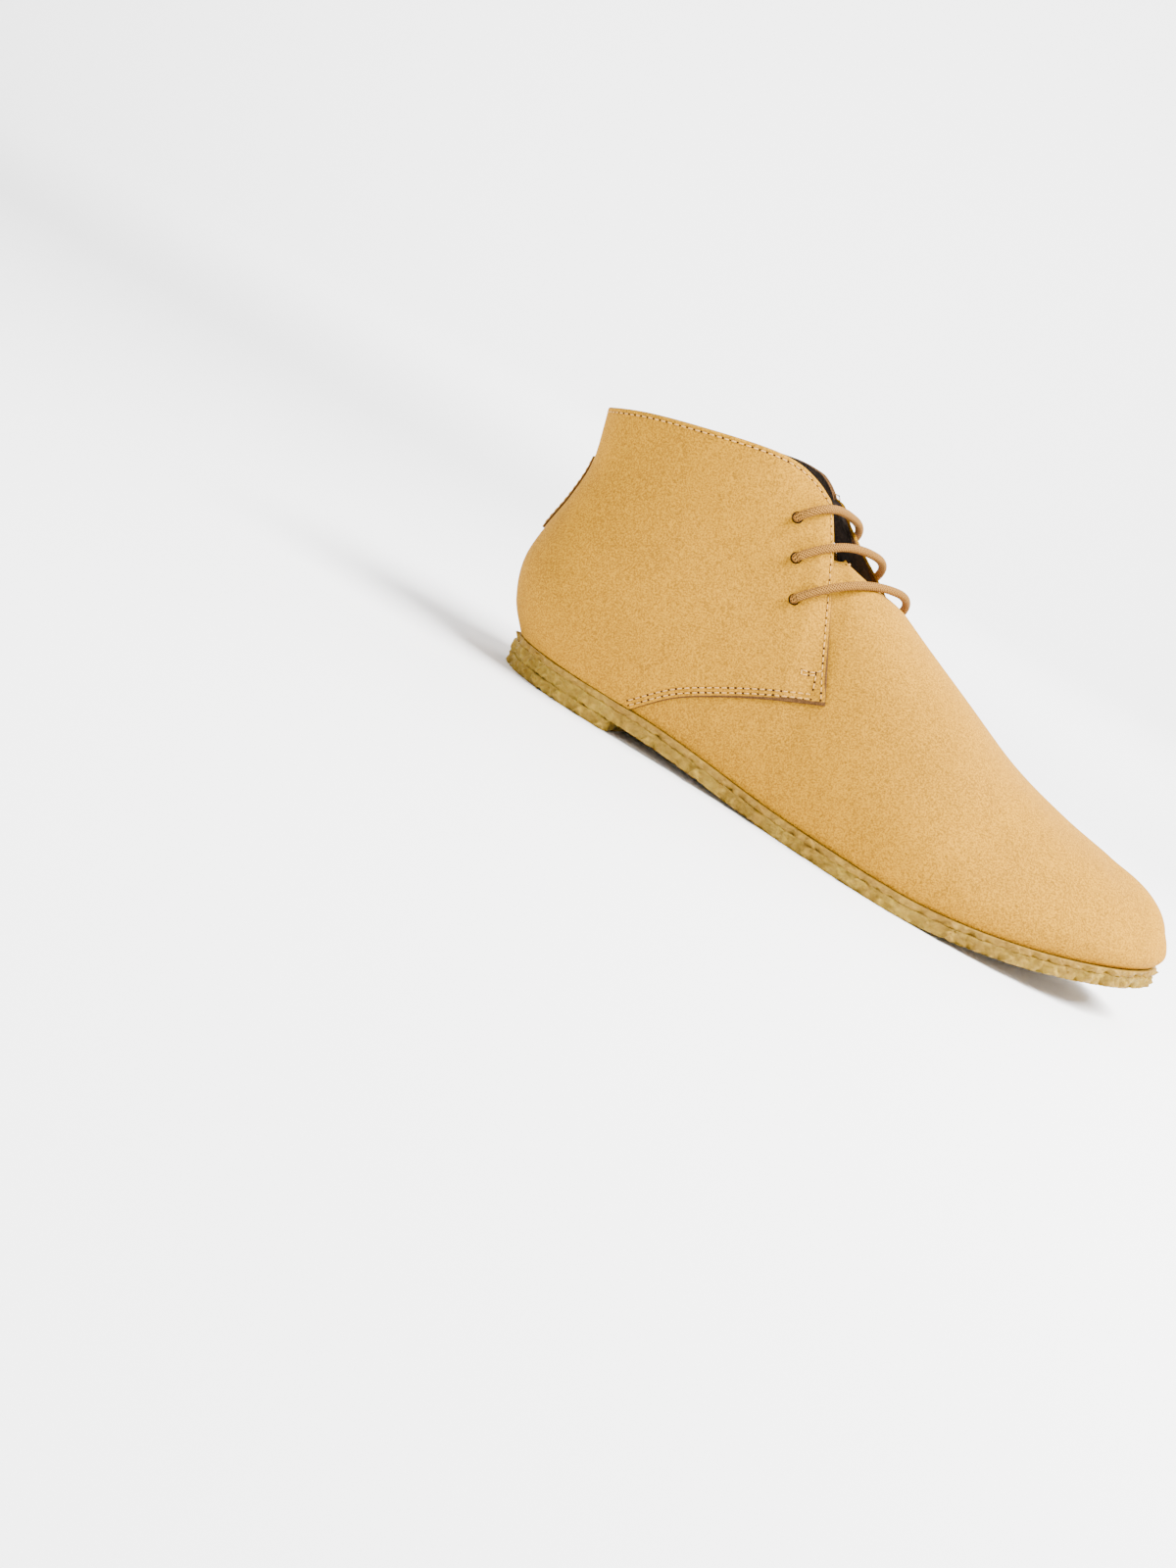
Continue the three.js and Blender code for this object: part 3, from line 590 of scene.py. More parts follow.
# %% [markdown]
# Nubuck is grain leather sanded until a very short nap stands up. Close up it is a fine salt and
# pepper of lit and shaded fibre ends; from further away it is soft patches where the nap was
# brushed one way or another. Both are noise, at about one millimetre and at some centimetres.

# %% The nap of the nubuck
nap, given, put = new_group("nap_of_leather", [
    ("Light", COLOUR, (1, 1, 1, 1)), ("Dark", COLOUR, (0, 0, 0, 1)), ("Fleck", COLOUR, (0, 0, 0, 1)),
    ("Grain", NUMBER, 1400.0)], [("Color", COLOUR), ("Height", NUMBER), ("Roughness", NUMBER)])
here = node(nap, "ShaderNodeTexCoord").outputs["Object"]
grain = noise(nap, here, given["Grain"], 3.0, 0.65)
patches = noise(nap, here, 24.0, 3.0, 0.55, 0.6)
brushed = noise(nap, here, 150.0, 2.0, 0.6, 1.2)
tone = maths(nap, "ADD", maths(nap, "MULTIPLY", grain, 0.86), maths(nap, "MULTIPLY", patches, 0.08))
tone = maths(nap, "ADD", tone, maths(nap, "MULTIPLY", brushed, 0.06))
body_colour = blend(nap, spread(nap, tone, 0.41, 0.59), given["Dark"], given["Light"])
speckle = noise(nap, here, maths(nap, "MULTIPLY", given["Grain"], 0.62), 2.0, 0.7)
flecks = spread(nap, speckle, 0.60, 0.72, 0.0, 0.5)
nap.links.new(blend(nap, flecks, body_colour, given["Fleck"]), put["Color"])
raised = maths(nap, "ADD", maths(nap, "MULTIPLY", grain, 0.8), maths(nap, "MULTIPLY", brushed, 0.2))
nap.links.new(raised, put["Height"])
nap.links.new(spread(nap, patches, 0.3, 0.7, 0.86, 0.97), put["Roughness"])
print("group", nap.name, "with", len(nap.nodes), "nodes")

# %% [markdown]
# Crepe is raw rubber pressed in sheets. It is cloudy and yellow at its edges, greyer and browner
# on the walked face, and full of crumbs and short threads. Crumbs are a Voronoi pattern whose
# place is pushed about by noise, which turns round cells into curled ones. The pit colour darkens
# the low hollows between crumbs as painted shade, and darkens the threads as well.

# %% The crumb of the crepe
crumb, given, put = new_group("crumb_of_crepe", [
    ("Pale", COLOUR, (1, 1, 1, 1)), ("Amber", COLOUR, (1, 1, 1, 1)), ("Pit", COLOUR, (0, 0, 0, 1)),
    ("Crumbs", NUMBER, 520.0)], [("Color", COLOUR), ("Height", NUMBER), ("Roughness", NUMBER)])
here = node(crumb, "ShaderNodeTexCoord").outputs["Object"]
push = node(crumb, "ShaderNodeTexNoise", {"Vector": here, "Scale": 420.0, "Detail": 2.0}).outputs["Color"]
moved = node(crumb, "ShaderNodeVectorMath", {0: push, 1: (0.5, 0.5, 0.5)}, operation="SUBTRACT").outputs[0]
moved = node(crumb, "ShaderNodeVectorMath", {0: moved, "Scale": 0.004}, operation="SCALE").outputs[0]
moved = node(crumb, "ShaderNodeVectorMath", {0: here, 1: moved}, operation="ADD").outputs[0]
cell_edge = node(crumb, "ShaderNodeTexVoronoi", {"Vector": moved, "Scale": given["Crumbs"]},
                 feature="F1").outputs["Distance"]
threads = noise(crumb, moved, 1100.0, 3.0, 0.7, 1.5)
cloud = noise(crumb, here, 45.0, 3.0, 0.6, 0.8)
ground = blend(crumb, spread(crumb, cloud, 0.35, 0.65), given["Amber"], given["Pale"])
# Pit colour: painted shade in the hollows between crumbs, where the height is lowest, and darker threads.
pits = spread(crumb, maths(crumb, "ADD", cell_edge, maths(crumb, "MULTIPLY", threads, 0.7)), 0.62, 1.02)
crumb.links.new(blend(crumb, maths(crumb, "MULTIPLY", pits, 0.5), ground, given["Pit"]), put["Color"])
crumb.links.new(maths(crumb, "SUBTRACT", maths(crumb, "MULTIPLY", threads, 0.9), cell_edge), put["Height"])
crumb.links.new(spread(crumb, cell_edge, 0.1, 0.8, 0.42, 0.8), put["Roughness"])
print("group", crumb.name, "with", len(crumb.nodes), "nodes")

# %% [markdown]
# A material joins a group to the Principled shader and turns the group's height into a bump.
# Leathers and threads are all the same nap with other colours, so they share one short function.
# Numbers that are the same all over, such as the sheen of the nap, are set on the shader itself.

# %% Materials
def material(name, build, strength, depth, **fixed):
    """A Principled material; build(tree) gives the sockets of its colour, roughness and height."""
    made = bpy.data.materials.new(name)
    made.use_nodes = True
    tree = made.node_tree
    shader = tree.nodes["Principled BSDF"]
    for key, value in fixed.items():
        shader.inputs[key.replace("_", " ")].default_value = value
    colour, roughness, height = build(tree)
    bump = node(tree, "ShaderNodeBump", {"Height": height, "Strength": strength, "Distance": depth})
    for key, value in (("Base Color", colour), ("Roughness", roughness), ("Normal", bump.outputs[0])):
        tree.links.new(value, shader.inputs[key])
    return made


def grouped(group, **values):
    """A builder for material(): places a group with the given input values."""
    def build(tree):
        placed = node(tree, "ShaderNodeGroup")
        placed.node_tree = group
        for key, value in values.items():
            placed.inputs[key].default_value = value
        return placed.outputs["Color"], placed.outputs["Roughness"], placed.outputs["Height"]

    return build


def napped(name, light, dark, fleck, grain, strength, depth, **fixed):
    """A leather or a thread: the nap group with three colours, as on a screen, and its grain."""
    colours = grouped(nap, Light=rgb(*light), Dark=rgb(*dark), Fleck=rgb(*fleck), Grain=grain)
    return material(name, colours, strength, depth, **fixed)


nubuck = napped("sand_nubuck", (178, 126, 12), (128, 88, 6), (78, 52, 6), 1450.0, 0.5, 0.0003,
                Sheen_Weight=0.06, Sheen_Roughness=0.5, Sheen_Tint=rgb(235, 170, 50), Specular_IOR_Level=0.12)
# Dark brown of the cut edges; the quarters' flesh side wears it too, as painted shade inside the throat.
nubuck_edge_and_shade = napped("cut_edge_and_painted_shade", (92, 62, 32), (62, 40, 18), (36, 24, 14), 1800.0, 0.4, 0.0002,
                     Specular_IOR_Level=0.1)
# The lining's colour is darkened below its own tan brown: painted shade for the inside of the boot.
lining_leather = napped("lining_leather", (58, 44, 32), (38, 28, 20), (26, 18, 12), 900.0, 0.2, 0.0001)
insole_leather = napped("insole_leather", (198, 160, 110), (176, 136, 88), (140, 100, 62), 600.0, 0.15,
                        0.0001)
thread = napped("seam_thread", (206, 158, 84), (172, 126, 58), (140, 100, 46), 2600.0, 0.3, 0.0001,
                Specular_IOR_Level=0.1)
# Painted shade for the needle holes: a dark disc stands where each hole would be in shadow.
hole_shade_paint = napped("painted_hole_shade", (56, 34, 16), (38, 22, 10), (24, 14, 8), 2600.0, 0.2, 0.0001,
                     Specular_IOR_Level=0.05)


def crepe_colours(tree):
    """Amber at the rim and grey brown on the walked face, by the piece's own rim attribute."""
    face = grouped(crumb, Pale=rgb(148, 122, 74), Amber=rgb(124, 96, 48), Pit=rgb(82, 62, 30),
                   Crumbs=480.0)(tree)
    wall = grouped(crumb, Pale=rgb(160, 130, 34), Amber=rgb(138, 105, 18), Pit=rgb(100, 74, 18),
                   Crumbs=330.0)(tree)
    rim = node(tree, "ShaderNodeAttribute", attribute_name="rim").outputs["Fac"]
    height = node(tree, "ShaderNodeMix", {0: rim, 2: face[2], 3: wall[2]}).outputs[0]
    return blend(tree, rim, face[0], wall[0]), wall[1], height


crepe = material("natural_crepe", crepe_colours, 0.9, 0.0007,
                 Subsurface_Weight=0.12, Subsurface_Radius=(0.004, 0.0025, 0.001), Subsurface_Scale=1.0,
                 Specular_IOR_Level=0.25)
crepe_band = material("crepe_band", grouped(crumb, Pale=rgb(146, 114, 30), Amber=rgb(128, 96, 20),
                                            Pit=rgb(102, 74, 26), Crumbs=420.0), 0.6, 0.0004,
                      Specular_IOR_Level=0.2)


STRANDS, STRAND_PITCH = 8, 1.15         # round the cord, and mm along it


def cord_weave(tree):
    """Round braid: two sets of slanting strands, the greater of sin(8 turns + run) and
    sin(8 turns - run), from the cord's own UV, u round and v along in mm. The colour follows the
    strands too: painted light on their crests, painted shade in the grooves between them."""
    uv = node(tree, "ShaderNodeUVMap").outputs["UV"]
    parts = node(tree, "ShaderNodeSeparateXYZ", {0: uv}).outputs
    turns = maths(tree, "MULTIPLY", parts[0], STRANDS * 2 * math.pi)
    run = maths(tree, "MULTIPLY", parts[1], 2 * math.pi / STRAND_PITCH)
    one = maths(tree, "SINE", maths(tree, "ADD", turns, run))
    two = maths(tree, "SINE", maths(tree, "SUBTRACT", turns, run))
    strands = maths(tree, "MAXIMUM", one, two)
    fuzz = noise(tree, node(tree, "ShaderNodeTexCoord").outputs["Object"], 2200.0, 2.0, 0.7)
    lit = spread(tree, maths(tree, "ADD", strands, maths(tree, "MULTIPLY", fuzz, 0.8)), 0.1, 1.4)
    # painted light on the strand crests and painted shade in the grooves, as the bump has them
    colour = blend(tree, lit, rgb(40, 25, 8), rgb(158, 110, 44))
    return colour, spread(tree, fuzz, 0.3, 0.7, 0.8, 0.95), maths(tree, "ADD", strands, fuzz)


woven = material("woven_cord", cord_weave, 0.7, 0.0003, Specular_IOR_Level=0.1)
print(len(bpy.data.materials), "materials")

# %% [markdown]
# ## The skin
# Every leather layer is the last pushed out along its normal by the layers below it. Worn and
# lasted leather is never as smooth as the last: it gives a little. The give is worked out once,
# from the place on the last, so that all layers bend together and never cut into each other.
# Creases are listed, each a soft trough between two points with a width and a depth.

# %% How the leather gives
CREASES = table("x0 y0 z0 x1 y1 z1 width depth", [
    (172, -50, 16, 196, -30, 52, 8.0, 0.55),        # outer side, across the ball
    (204, -46, 20, 226, -26, 50, 8.0, 0.65),        # outer side, behind the toe
    (232, -34, 22, 246, -12, 48, 8.0, 0.35),
    (176, 54, 18, 198, 34, 54, 8.0, 0.60),          # inner side, across the ball
    (208, 50, 22, 228, 30, 50, 8.0, 0.55),
    (56, -33, 92, 86, -30, 74, 9.0, 0.60),          # ankle, outer side
    (58, 33, 90, 88, 30, 72, 9.0, 0.60),            # ankle, inner side
    (12, -30, 70, 34, -36, 60, 10.0, 0.45),
    (12, 30, 70, 34, 36, 60, 10.0, 0.45),
])


GIVE_HIGH, GIVE_LONG, GIVE_SEED = 0.30, 62.0, 11


def give(points):
    """Slow waves about 60 mm long, less each crease: depth exp(-(distance / width)^2)."""
    total = GIVE_HIGH * waves(points, GIVE_LONG, GIVE_SEED)
    for k in range(len(CREASES["width"])):
        a = np.array([CREASES[c][k] for c in ("x0", "y0", "z0")])
        b = np.array([CREASES[c][k] for c in ("x1", "y1", "z1")])
        s = np.clip((points - a) @ (b - a) / ((b - a) @ (b - a)), 0, 1)
        gap = np.linalg.norm(points - a - s[..., None] * (b - a), axis=-1)
        total = total - CREASES["depth"][k] * bell(gap, 0, CREASES["width"][k])
    return total


def skin(p, w, offset):
    """The last plus its normal times offset and give; the foot stays level on the sole."""
    base, normal = last(p, w), outward(p, w)
    normal = np.where(np.asarray(w)[..., None] <= 0, unit(normal * [1, 1, 0]), normal)
    return base + normal * (np.asarray(offset) + give(base) * ease(np.asarray(w) * 12))[..., None]


def near(points, others):
    """For each point the nearest of the others and how far it is."""
    flat, target = points.reshape(-1, 3), others.reshape(-1, 3)
    who = np.empty(len(flat), int)
    for a in range(0, len(flat), 2000):
        block = flat[a:a + 2000]
        far = (block**2).sum(1)[:, None] - 2 * block @ target.T + (target**2).sum(1)[None]
        who[a:a + 2000] = far.argmin(1)
    reach = np.linalg.norm(flat - target[who], axis=1)
    return who.reshape(points.shape[:-1]), reach.reshape(points.shape[:-1])


print("give at the ball:", float(give(np.array([[190.0, -38.0, 36.0]]))[0].round(2)), "mm")

# %% [markdown]
# ## Quarters
# Each quarter is one flat piece of leather in four edges: back seam, sole, collar, and a front
# edge that turns a sharp corner between the facing and the foot. A grid is stretched between the
# four edges: a point is the blend of its two side edges plus the blend of top and bottom, less
# the blend of the corners. Rows are closer together near the cut edges, where the leather is
# pressed down by its seam.

# %% Stretching a grid between four edges
NEAR_TOP = 0.93        # above this share of the height the rows are closer


def four_edges(side, upper, lower, u, v_counts):
    """(h, w) on a grid between back seam, sole, collar and the front edge, which is the lower
    line below the corner and the upper line above it."""
    top_h, top_w = find(side, *upper[0])
    _, corner_w = find(side, *upper[-1])
    share = corner_w / top_w
    v = stretches((0, share, v_counts[0]), (share, NEAR_TOP, v_counts[1]), (NEAR_TOP, 1, v_counts[2]))
    right_w = v * top_w
    right_h = np.where(right_w <= corner_w + 1e-9, line_p(side, lower, right_w), line_p(side, upper, right_w))
    right_h[-1] = top_h
    top_line = u * top_h
    top = collar_w(round_side(side, top_line), side)
    top[-1] = top_w
    uu, vv = np.meshgrid(u, v, indexing="ij")
    h = uu * right_h[None, :] + (1 - vv) * (u * right_h[0])[:, None] + vv * top_line[:, None] \
        - uu * ((1 - vv) * right_h[0] + vv * top_h)
    w = (1 - uu) * (vv * top[0]) + uu * right_w[None, :] + vv * top[:, None] \
        - vv * ((1 - uu) * top[0] + uu * top_w)
    return h, w, v, share


def close_rows(count, edge_count, edge_share):
    """Even steps, then smaller ones over the last share before 1."""
    return stretches((0, 1 - edge_share, count), (1 - edge_share, 1, edge_count))


ROW_IN, SECOND_ROW_IN = 1.8, 3.8       # seams run this far inside a cut edge
ROW_DIP, ROW_WIDE = 0.26, 0.55         # how far a seam draws the leather in, and how wide
EDGE_DIP, EDGE_WIDE = 0.28, 0.8        # the same for a cut edge
ROLL_RISE, ROLL_IN, ROLL_WIDE = 0.16, 2.8, 0.4      # the roll that stands between two rows
quarter_grids = {}


def make_quarter(side, name, nodes):
    """Outer skin of the quarter at GAP + thickness, rounded at cut edges and drawn in at seams."""
    h, w, v, share = four_edges(side, FACING[side], FOOT_LINE[side], close_rows(86, 26, 0.07), (36, 40, 16))
    p = round_side(side, h)
    outer = skin(p, w, GAP + QUARTER_THICK)
    front, collar = outer[-1], outer[:, -1]
    _, from_front = near(outer, through_points(front))
    _, from_collar = near(outer, through_points(collar))
    cut = np.minimum(from_front, from_collar)
    foot_part = ease((share + 0.03 - v) / 0.05)[None, :] * np.ones_like(h)
    press = -EDGE_DIP * np.clip(1 - cut / EDGE_WIDE, 0, 1) ** 2
    press = press - ROW_DIP * bell(cut, ROW_IN, ROW_WIDE)
    press = press - ROW_DIP * foot_part * bell(from_front, SECOND_ROW_IN, ROW_WIDE)
    press = press + ROLL_RISE * foot_part * bell(from_front, ROLL_IN, ROLL_WIDE)
    normal = outward(p, w)
    outer = outer + normal * press[..., None]
    inner = skin(p, w, GAP)
    points, faces, rim = shell(outer, inner)
    rows, columns = h.shape
    # The flesh side takes the dark cut-edge brown as painted shade inside the throat; the last strip of the
    # outer face along the front edge takes it too, widening the cut edge's line.
    rim[(rows - 2) * (columns - 1):2 * (rows - 1) * (columns - 1)] = 1  # cut edge and flesh side are brown
    piece = make_piece(name, points, faces, [nubuck, nubuck_edge_and_shade], replaces=nodes,
                       face_material=rim, sharp=50)
    quarter_grids[side] = {"outer": outer, "normal": normal, "v": v, "share": share}
    return piece


def through_points(line, steps=4):
    """The same polyline with more points on it, so that distances to it are even."""
    s = np.linspace(0, len(line) - 1, (len(line) - 1) * steps + 1)
    return np.stack([np.interp(s, np.arange(len(line)), line[:, k]) for k in range(3)], -1)


outer_quarter = make_quarter(LATERAL, "outer_quarter", ["quarter_lateral"])
inner_quarter = make_quarter(MEDIAL, "inner_quarter", ["quarter_medial"])

# %% [markdown]
# ## Lining
# Behind the quarters lies a thin lining that shows as a second layer in the cut edge and as the
# brown inside of the boot. Its brown is darker than the leather's own: painted shade for the
# inside of the boot. It is stretched between four edges in the same way. Its front edge
# follows the facing only where the tongue hangs clear below it, and then runs down behind the
# vamp. The halves meet at the back.

# %% Lining
LINING_TOP = {
    LATERAL: [(94.5, 121.5), (99, 114.2), (103.5, 107.5), (102, 101), (99, 96)],
    MEDIAL: [(87.6, 124.4), (98, 114.5), (112.8, 105.2), (122, 100), (119, 95)],
}
LINING_FOOT = {
    LATERAL: [(99, 96), (102.5, 84), (107.5, 68), (97.5, 50), (67.5, 30), (39.5, 4)],
    MEDIAL: [(119, 95), (113, 84), (112, 68), (104, 52), (69, 32), (41.5, 4)],
}
LINING_IN, LINING_OUT = -0.7, 0.2


def make_lining(side, name):
    """One half: outer and inner face, and the cut edge between them."""
    h, w, _, _ = four_edges(side, LINING_TOP[side], LINING_FOOT[side], close_rows(56, 8, 0.04), (44, 12, 6))
    p = round_side(side, h)
    outer, inner = skin(p, w, LINING_OUT), skin(p, w, LINING_IN)
    points, faces, rim = shell(outer, inner, 0.1)
    return make_piece(name, points, faces, [lining_leather, nubuck_edge_and_shade],
                      face_material=rim, sharp=50)


outer_lining, inner_lining = make_lining(LATERAL, "outer_lining"), make_lining(MEDIAL, "inner_lining")

# %% [markdown]
# ## Vamp and tongue
# The vamp and the tongue are one piece of leather: it climbs from the sole on the outer side,
# over the ridge, and down to the sole on the inner side. So its grid runs along the foot and
# across it, and no seam crosses the top of the toe. At the toe's tip the outer and inner halves
# meet, and there the normals are taken across the tip, as if the grid went on over the other
# side. Up the ridge the sheet sinks below the quarters and becomes the tongue.

# %% Vamp and tongue
VAMP_THICK = 1.5
TONGUE_SINK, SINK_LENGTH = 11.0, 38.0
THROAT_X, THROAT_Z = 142.0, 101.5
LATERAL_DELAY, DELAY_SPAN = 18.6, 0.32     # the outer side sinks later, beside its facing


def tongue_sink(base, c):
    """How far the sheet has sunk: sink ease(s / length), s the way up the ridge past the throat."""
    along = (base[..., 0] - THROAT_X) * -0.83 + (base[..., 2] - THROAT_Z) * 0.55
    late = LATERAL_DELAY * ease(-c / DELAY_SPAN)
    return TONGUE_SINK * ease((along - late) / SINK_LENGTH)


across = stretches((-1, -0.5, 44), (-0.5, 0.5, 110), (0.5, 1, 44))
climb = 1 - np.abs(across)
back_t = np.empty_like(across)
for side in (LATERAL, MEDIAL):
    mine = across * side >= 0
    back_t[mine] = 2 * line_p(side, VAMP_BACK[side], climb[mine])
ridge = len(across) // 2
back_t[ridge] = (back_t[ridge - 1] + back_t[ridge + 1]) / 2
along = stretches((0, 0.05, 9), (0.05, 0.8, 100), (0.8, 1, 40))
t = back_t[None, :] + (1 - back_t[None, :]) * along[:, None]
p = np.where(across < 0, t / 2, 1 - t / 2)
base = last(p, np.broadcast_to(climb, p.shape))
base[-1] = (base[-1] + base[-1][::-1]) / 2
beyond = base[-2:-1, ::-1]
padded = np.concatenate([base, beyond])
slope_along, slope_across = np.gradient(padded, axis=0)[:-1], np.gradient(base, axis=1)
normal = unit(np.cross(slope_along, slope_across))
normal = normal * np.sign((normal * (base - [150.0, 0.0, 30.0])).sum(-1).mean())
normal[-1] = unit(normal[-1] + normal[-1][::-1])
level_foot = unit(normal * [1, 1, 0])
normal[:, [0, -1]] = level_foot[:, [0, -1]]
shared = give(base) * ease(climb * 12)[None, :]
shared[-1] = (shared[-1] + shared[-1][::-1]) / 2
sink = tongue_sink(base, across[None, :])
outer = base + normal * (shared - sink)[..., None]
inner = outer - normal * VAMP_THICK
points, faces, rim = shell(outer, inner, 0.15)
make_piece("vamp_and_tongue", points, faces, [nubuck, nubuck_edge_and_shade], replaces=["upper", "tongue"],
           face_material=rim, sharp=50, merge=0.002)
vamp_outer, vamp_normal = outer, normal

# %% [markdown]
# ## Sole
# A crepe sole is stacked flat sheets, trimmed together along one outline. The natural way is a
# closed loop of points round the edge, repeated at every level and drawn together to the middle
# line above and below. The crinkles are real bumps: waves of some millimetres push the walls in
# and out and the tread upwards, never down, because the boot stands on it.

# %% Slabs
SPINE_BACK, SPINE_FRONT = 34.0, 262.0
RIM_WIDE, RIM_FADE = 3.5, 2.5          # how far in from the edge the clean rim reaches


def sole_loop(count, stop=None):
    """Points once round the sole with outward directions: up the outer side, back the inner."""
    ends = stop or {LATERAL: 1.0, MEDIAL: 1.0}
    t = np.concatenate([np.linspace(0, ends[LATERAL], count), np.linspace(ends[MEDIAL], 0, count)])
    side = np.repeat([LATERAL, MEDIAL], count)
    x, y, out_x, out_y = edge_point(t, side)
    return np.stack([x, y], -1), np.stack([out_x, out_y], -1)


def spine(edge):
    """The middle line's point beside each edge point: same x, kept between heel and toe."""
    x = np.clip(edge[:, 0], SPINE_BACK, SPINE_FRONT)
    return np.stack([x, outline_centre(turn(x / SOLE_LENGTH))], -1)


def slab(edge, out, middle, low, high, rows, bevel=0.8, round_top=0.2, steps_in=40):
    """Levels of a slab from the middle of its underside, over the edge, to the middle of its top.
    low and high give the heights of underside and top at any x. Returns points and part shares."""
    share = np.linspace(0, 1, steps_in) ** 0.8
    grid, zone = [], []
    for s in share:
        at = middle + (edge - out * bevel - middle) * s
        grid.append(np.column_stack([at, low(at[:, 0])]))
        zone.append(0.0)
    for angle in np.linspace(0, math.pi / 2, 4)[1:]:
        at = edge - out * bevel * (1 - math.sin(angle))
        grid.append(np.column_stack([at, low(edge[:, 0]) + bevel * (1 - math.cos(angle))]))
        zone.append(1.0)
    for s in np.linspace(0, 1, rows + 1)[1:]:
        z = (low(edge[:, 0]) + bevel) * (1 - s) + (high(edge[:, 0]) - round_top) * s
        grid.append(np.column_stack([edge, z]))
        zone.append(1.0 + s)
    for inset in (round_top, 1.2, 2.4, 6.0):
        at = edge - out * inset
        grid.append(np.column_stack([at, high(at[:, 0])]))
        zone.append(3.0)
    for s in (0.6, 0.3, 0.0):
        at = middle + (edge - out * 6.0 - middle) * s
        grid.append(np.column_stack([at, high(at[:, 0])]))
        zone.append(3.0)
    return np.array(grid), np.array(zone)


def closed_quads(rows, columns):
    """Cells of a grid whose last column joins its first."""
    i, j = np.meshgrid(np.arange(rows - 1), np.arange(columns), indexing="ij")
    a, b = (i * columns + j).ravel(), (i * columns + (j + 1) % columns).ravel()
    return np.stack([a, b, b + columns, a + columns], -1)


def tube_triangles(rings, sides):
    """Triangles of a tube of rings, closed by fans to two more points, one for each end."""
    body, count = closed_quads(rings, sides), rings * sides
    here = np.arange(sides)
    after = np.roll(here, -1)
    start_fan = np.stack([here * 0 + count, after, here], -1)
    end_fan = np.stack([here * 0 + count + 1, here + count - sides, after + count - sides], -1)
    return np.concatenate([body[:, [0, 1, 2]], body[:, [0, 2, 3]], start_fan, end_fan])


def crinkle(grid, zone, out, wall, tread_rise, seed):
    """Walls move out by waves of 9 and 2.6 mm, the underside up by the same waves, above zero."""
    fine = 0.5 * waves(grid, 9.0, seed) + 0.5 * waves(grid, 2.6, seed + 1)
    ragged = waves(grid * [1, 1, 0.2], 5.5, seed + 2)
    on_wall = ((zone >= 1) & (zone < 3))[:, None]
    lower = np.clip(1 - (zone - 1), 0, 1)[:, None] * on_wall
    moved = grid.copy()
    shift = on_wall * (wall * fine + lower * 0.8 * ragged)
    moved[..., 0] += shift * out[:, 0]
    moved[..., 1] += shift * out[:, 1]
    under = (zone < 1)[:, None]
    moved[..., 2] += under * tread_rise * np.maximum(fine + 0.2, 0) + lower * 1.1 * np.maximum(ragged, 0)
    return moved


def make_slab(name, node_name, edge, out, middle, low, high, rows, finish, wall, rise_by, seed,
              steps_in=40, bevel=0.8):
    """Builds one layer of the sole and marks its rim, where the crepe is clean and yellow."""
    grid, zone = slab(edge, out, middle, low, high, rows, bevel, steps_in=steps_in)
    moved = crinkle(grid, zone, out, wall, rise_by, seed)
    inward = np.linalg.norm(grid[..., :2] - edge[None], axis=-1)
    past_rim = inward - RIM_WIDE + 0.8 * waves(grid, 12.0, seed + 5)
    rim = np.where(zone[:, None] >= 1, 1.0, 1 - ease(past_rim / RIM_FADE))
    return make_piece(name, moved.reshape(-1, 3), closed_quads(*grid.shape[:2]), [finish],
                      replaces=[node_name], sharp=60, merge=0.002,
                      attributes={"rim": rim})


SEAM = 0.03          # the cemented layers look like one, so only a hair's breadth is left between them
edge, out = sole_loop(430)
middle = spine(edge)
make_slab("crepe_outsole", "outsole", edge, out, middle, tread, lambda x: tread(x) + OUTSOLE_THICK,
          12, crepe, 0.42, 0.28, 21, bevel=0.3)
make_slab("crepe_midsole_band", "midsole", edge, out, middle, lambda x: tread(x) + OUTSOLE_THICK + SEAM,
          lambda x: tread(x) + SOLE_TOP, 8, crepe_band, 0.3, 0.0, 21, steps_in=6, bevel=0.1)

# %% Heel lift and insole
stop = {LATERAL: float(turn(BREAST_LATERAL / SOLE_LENGTH)), MEDIAL: float(turn(BREAST_MEDIAL / SOLE_LENGTH))}
HEEL_COUNT, BREAST_COUNT = 170, 66
round_edge, round_out = sole_loop(HEEL_COUNT, stop)
corner_a, corner_b = round_edge[HEEL_COUNT - 1], round_edge[HEEL_COUNT]
share = np.linspace(0, 1, BREAST_COUNT)[1:-1, None]
breast = corner_a * (1 - share) + corner_b * share
forward = unit(np.array([corner_b[1] - corner_a[1], corner_a[0] - corner_b[0]]))
heel_edge = np.concatenate([round_edge[:HEEL_COUNT], breast, round_edge[HEEL_COUNT:]])
heel_out = np.concatenate([round_out[:HEEL_COUNT], np.repeat(forward[None], len(breast), 0),
                           round_out[HEEL_COUNT:]])
for _ in range(10):
    heel_out = unit(np.roll(heel_out, 1, 0) + 2 * heel_out + np.roll(heel_out, -1, 0))
    heel_edge[2:-2] = (heel_edge[1:-3] + 2 * heel_edge[2:-2] + heel_edge[3:-1]) / 4
heel_middle = np.repeat(np.array([[SPINE_BACK, -1.0]]), len(heel_edge), 0)
make_slab("crepe_heel_lift", "heel", heel_edge, heel_out, heel_middle, lambda x: 0 * x,
          lambda x: 0 * x + HEEL_LIFT - SEAM, 10, crepe, 0.42, 0.28, 21, bevel=0.5)

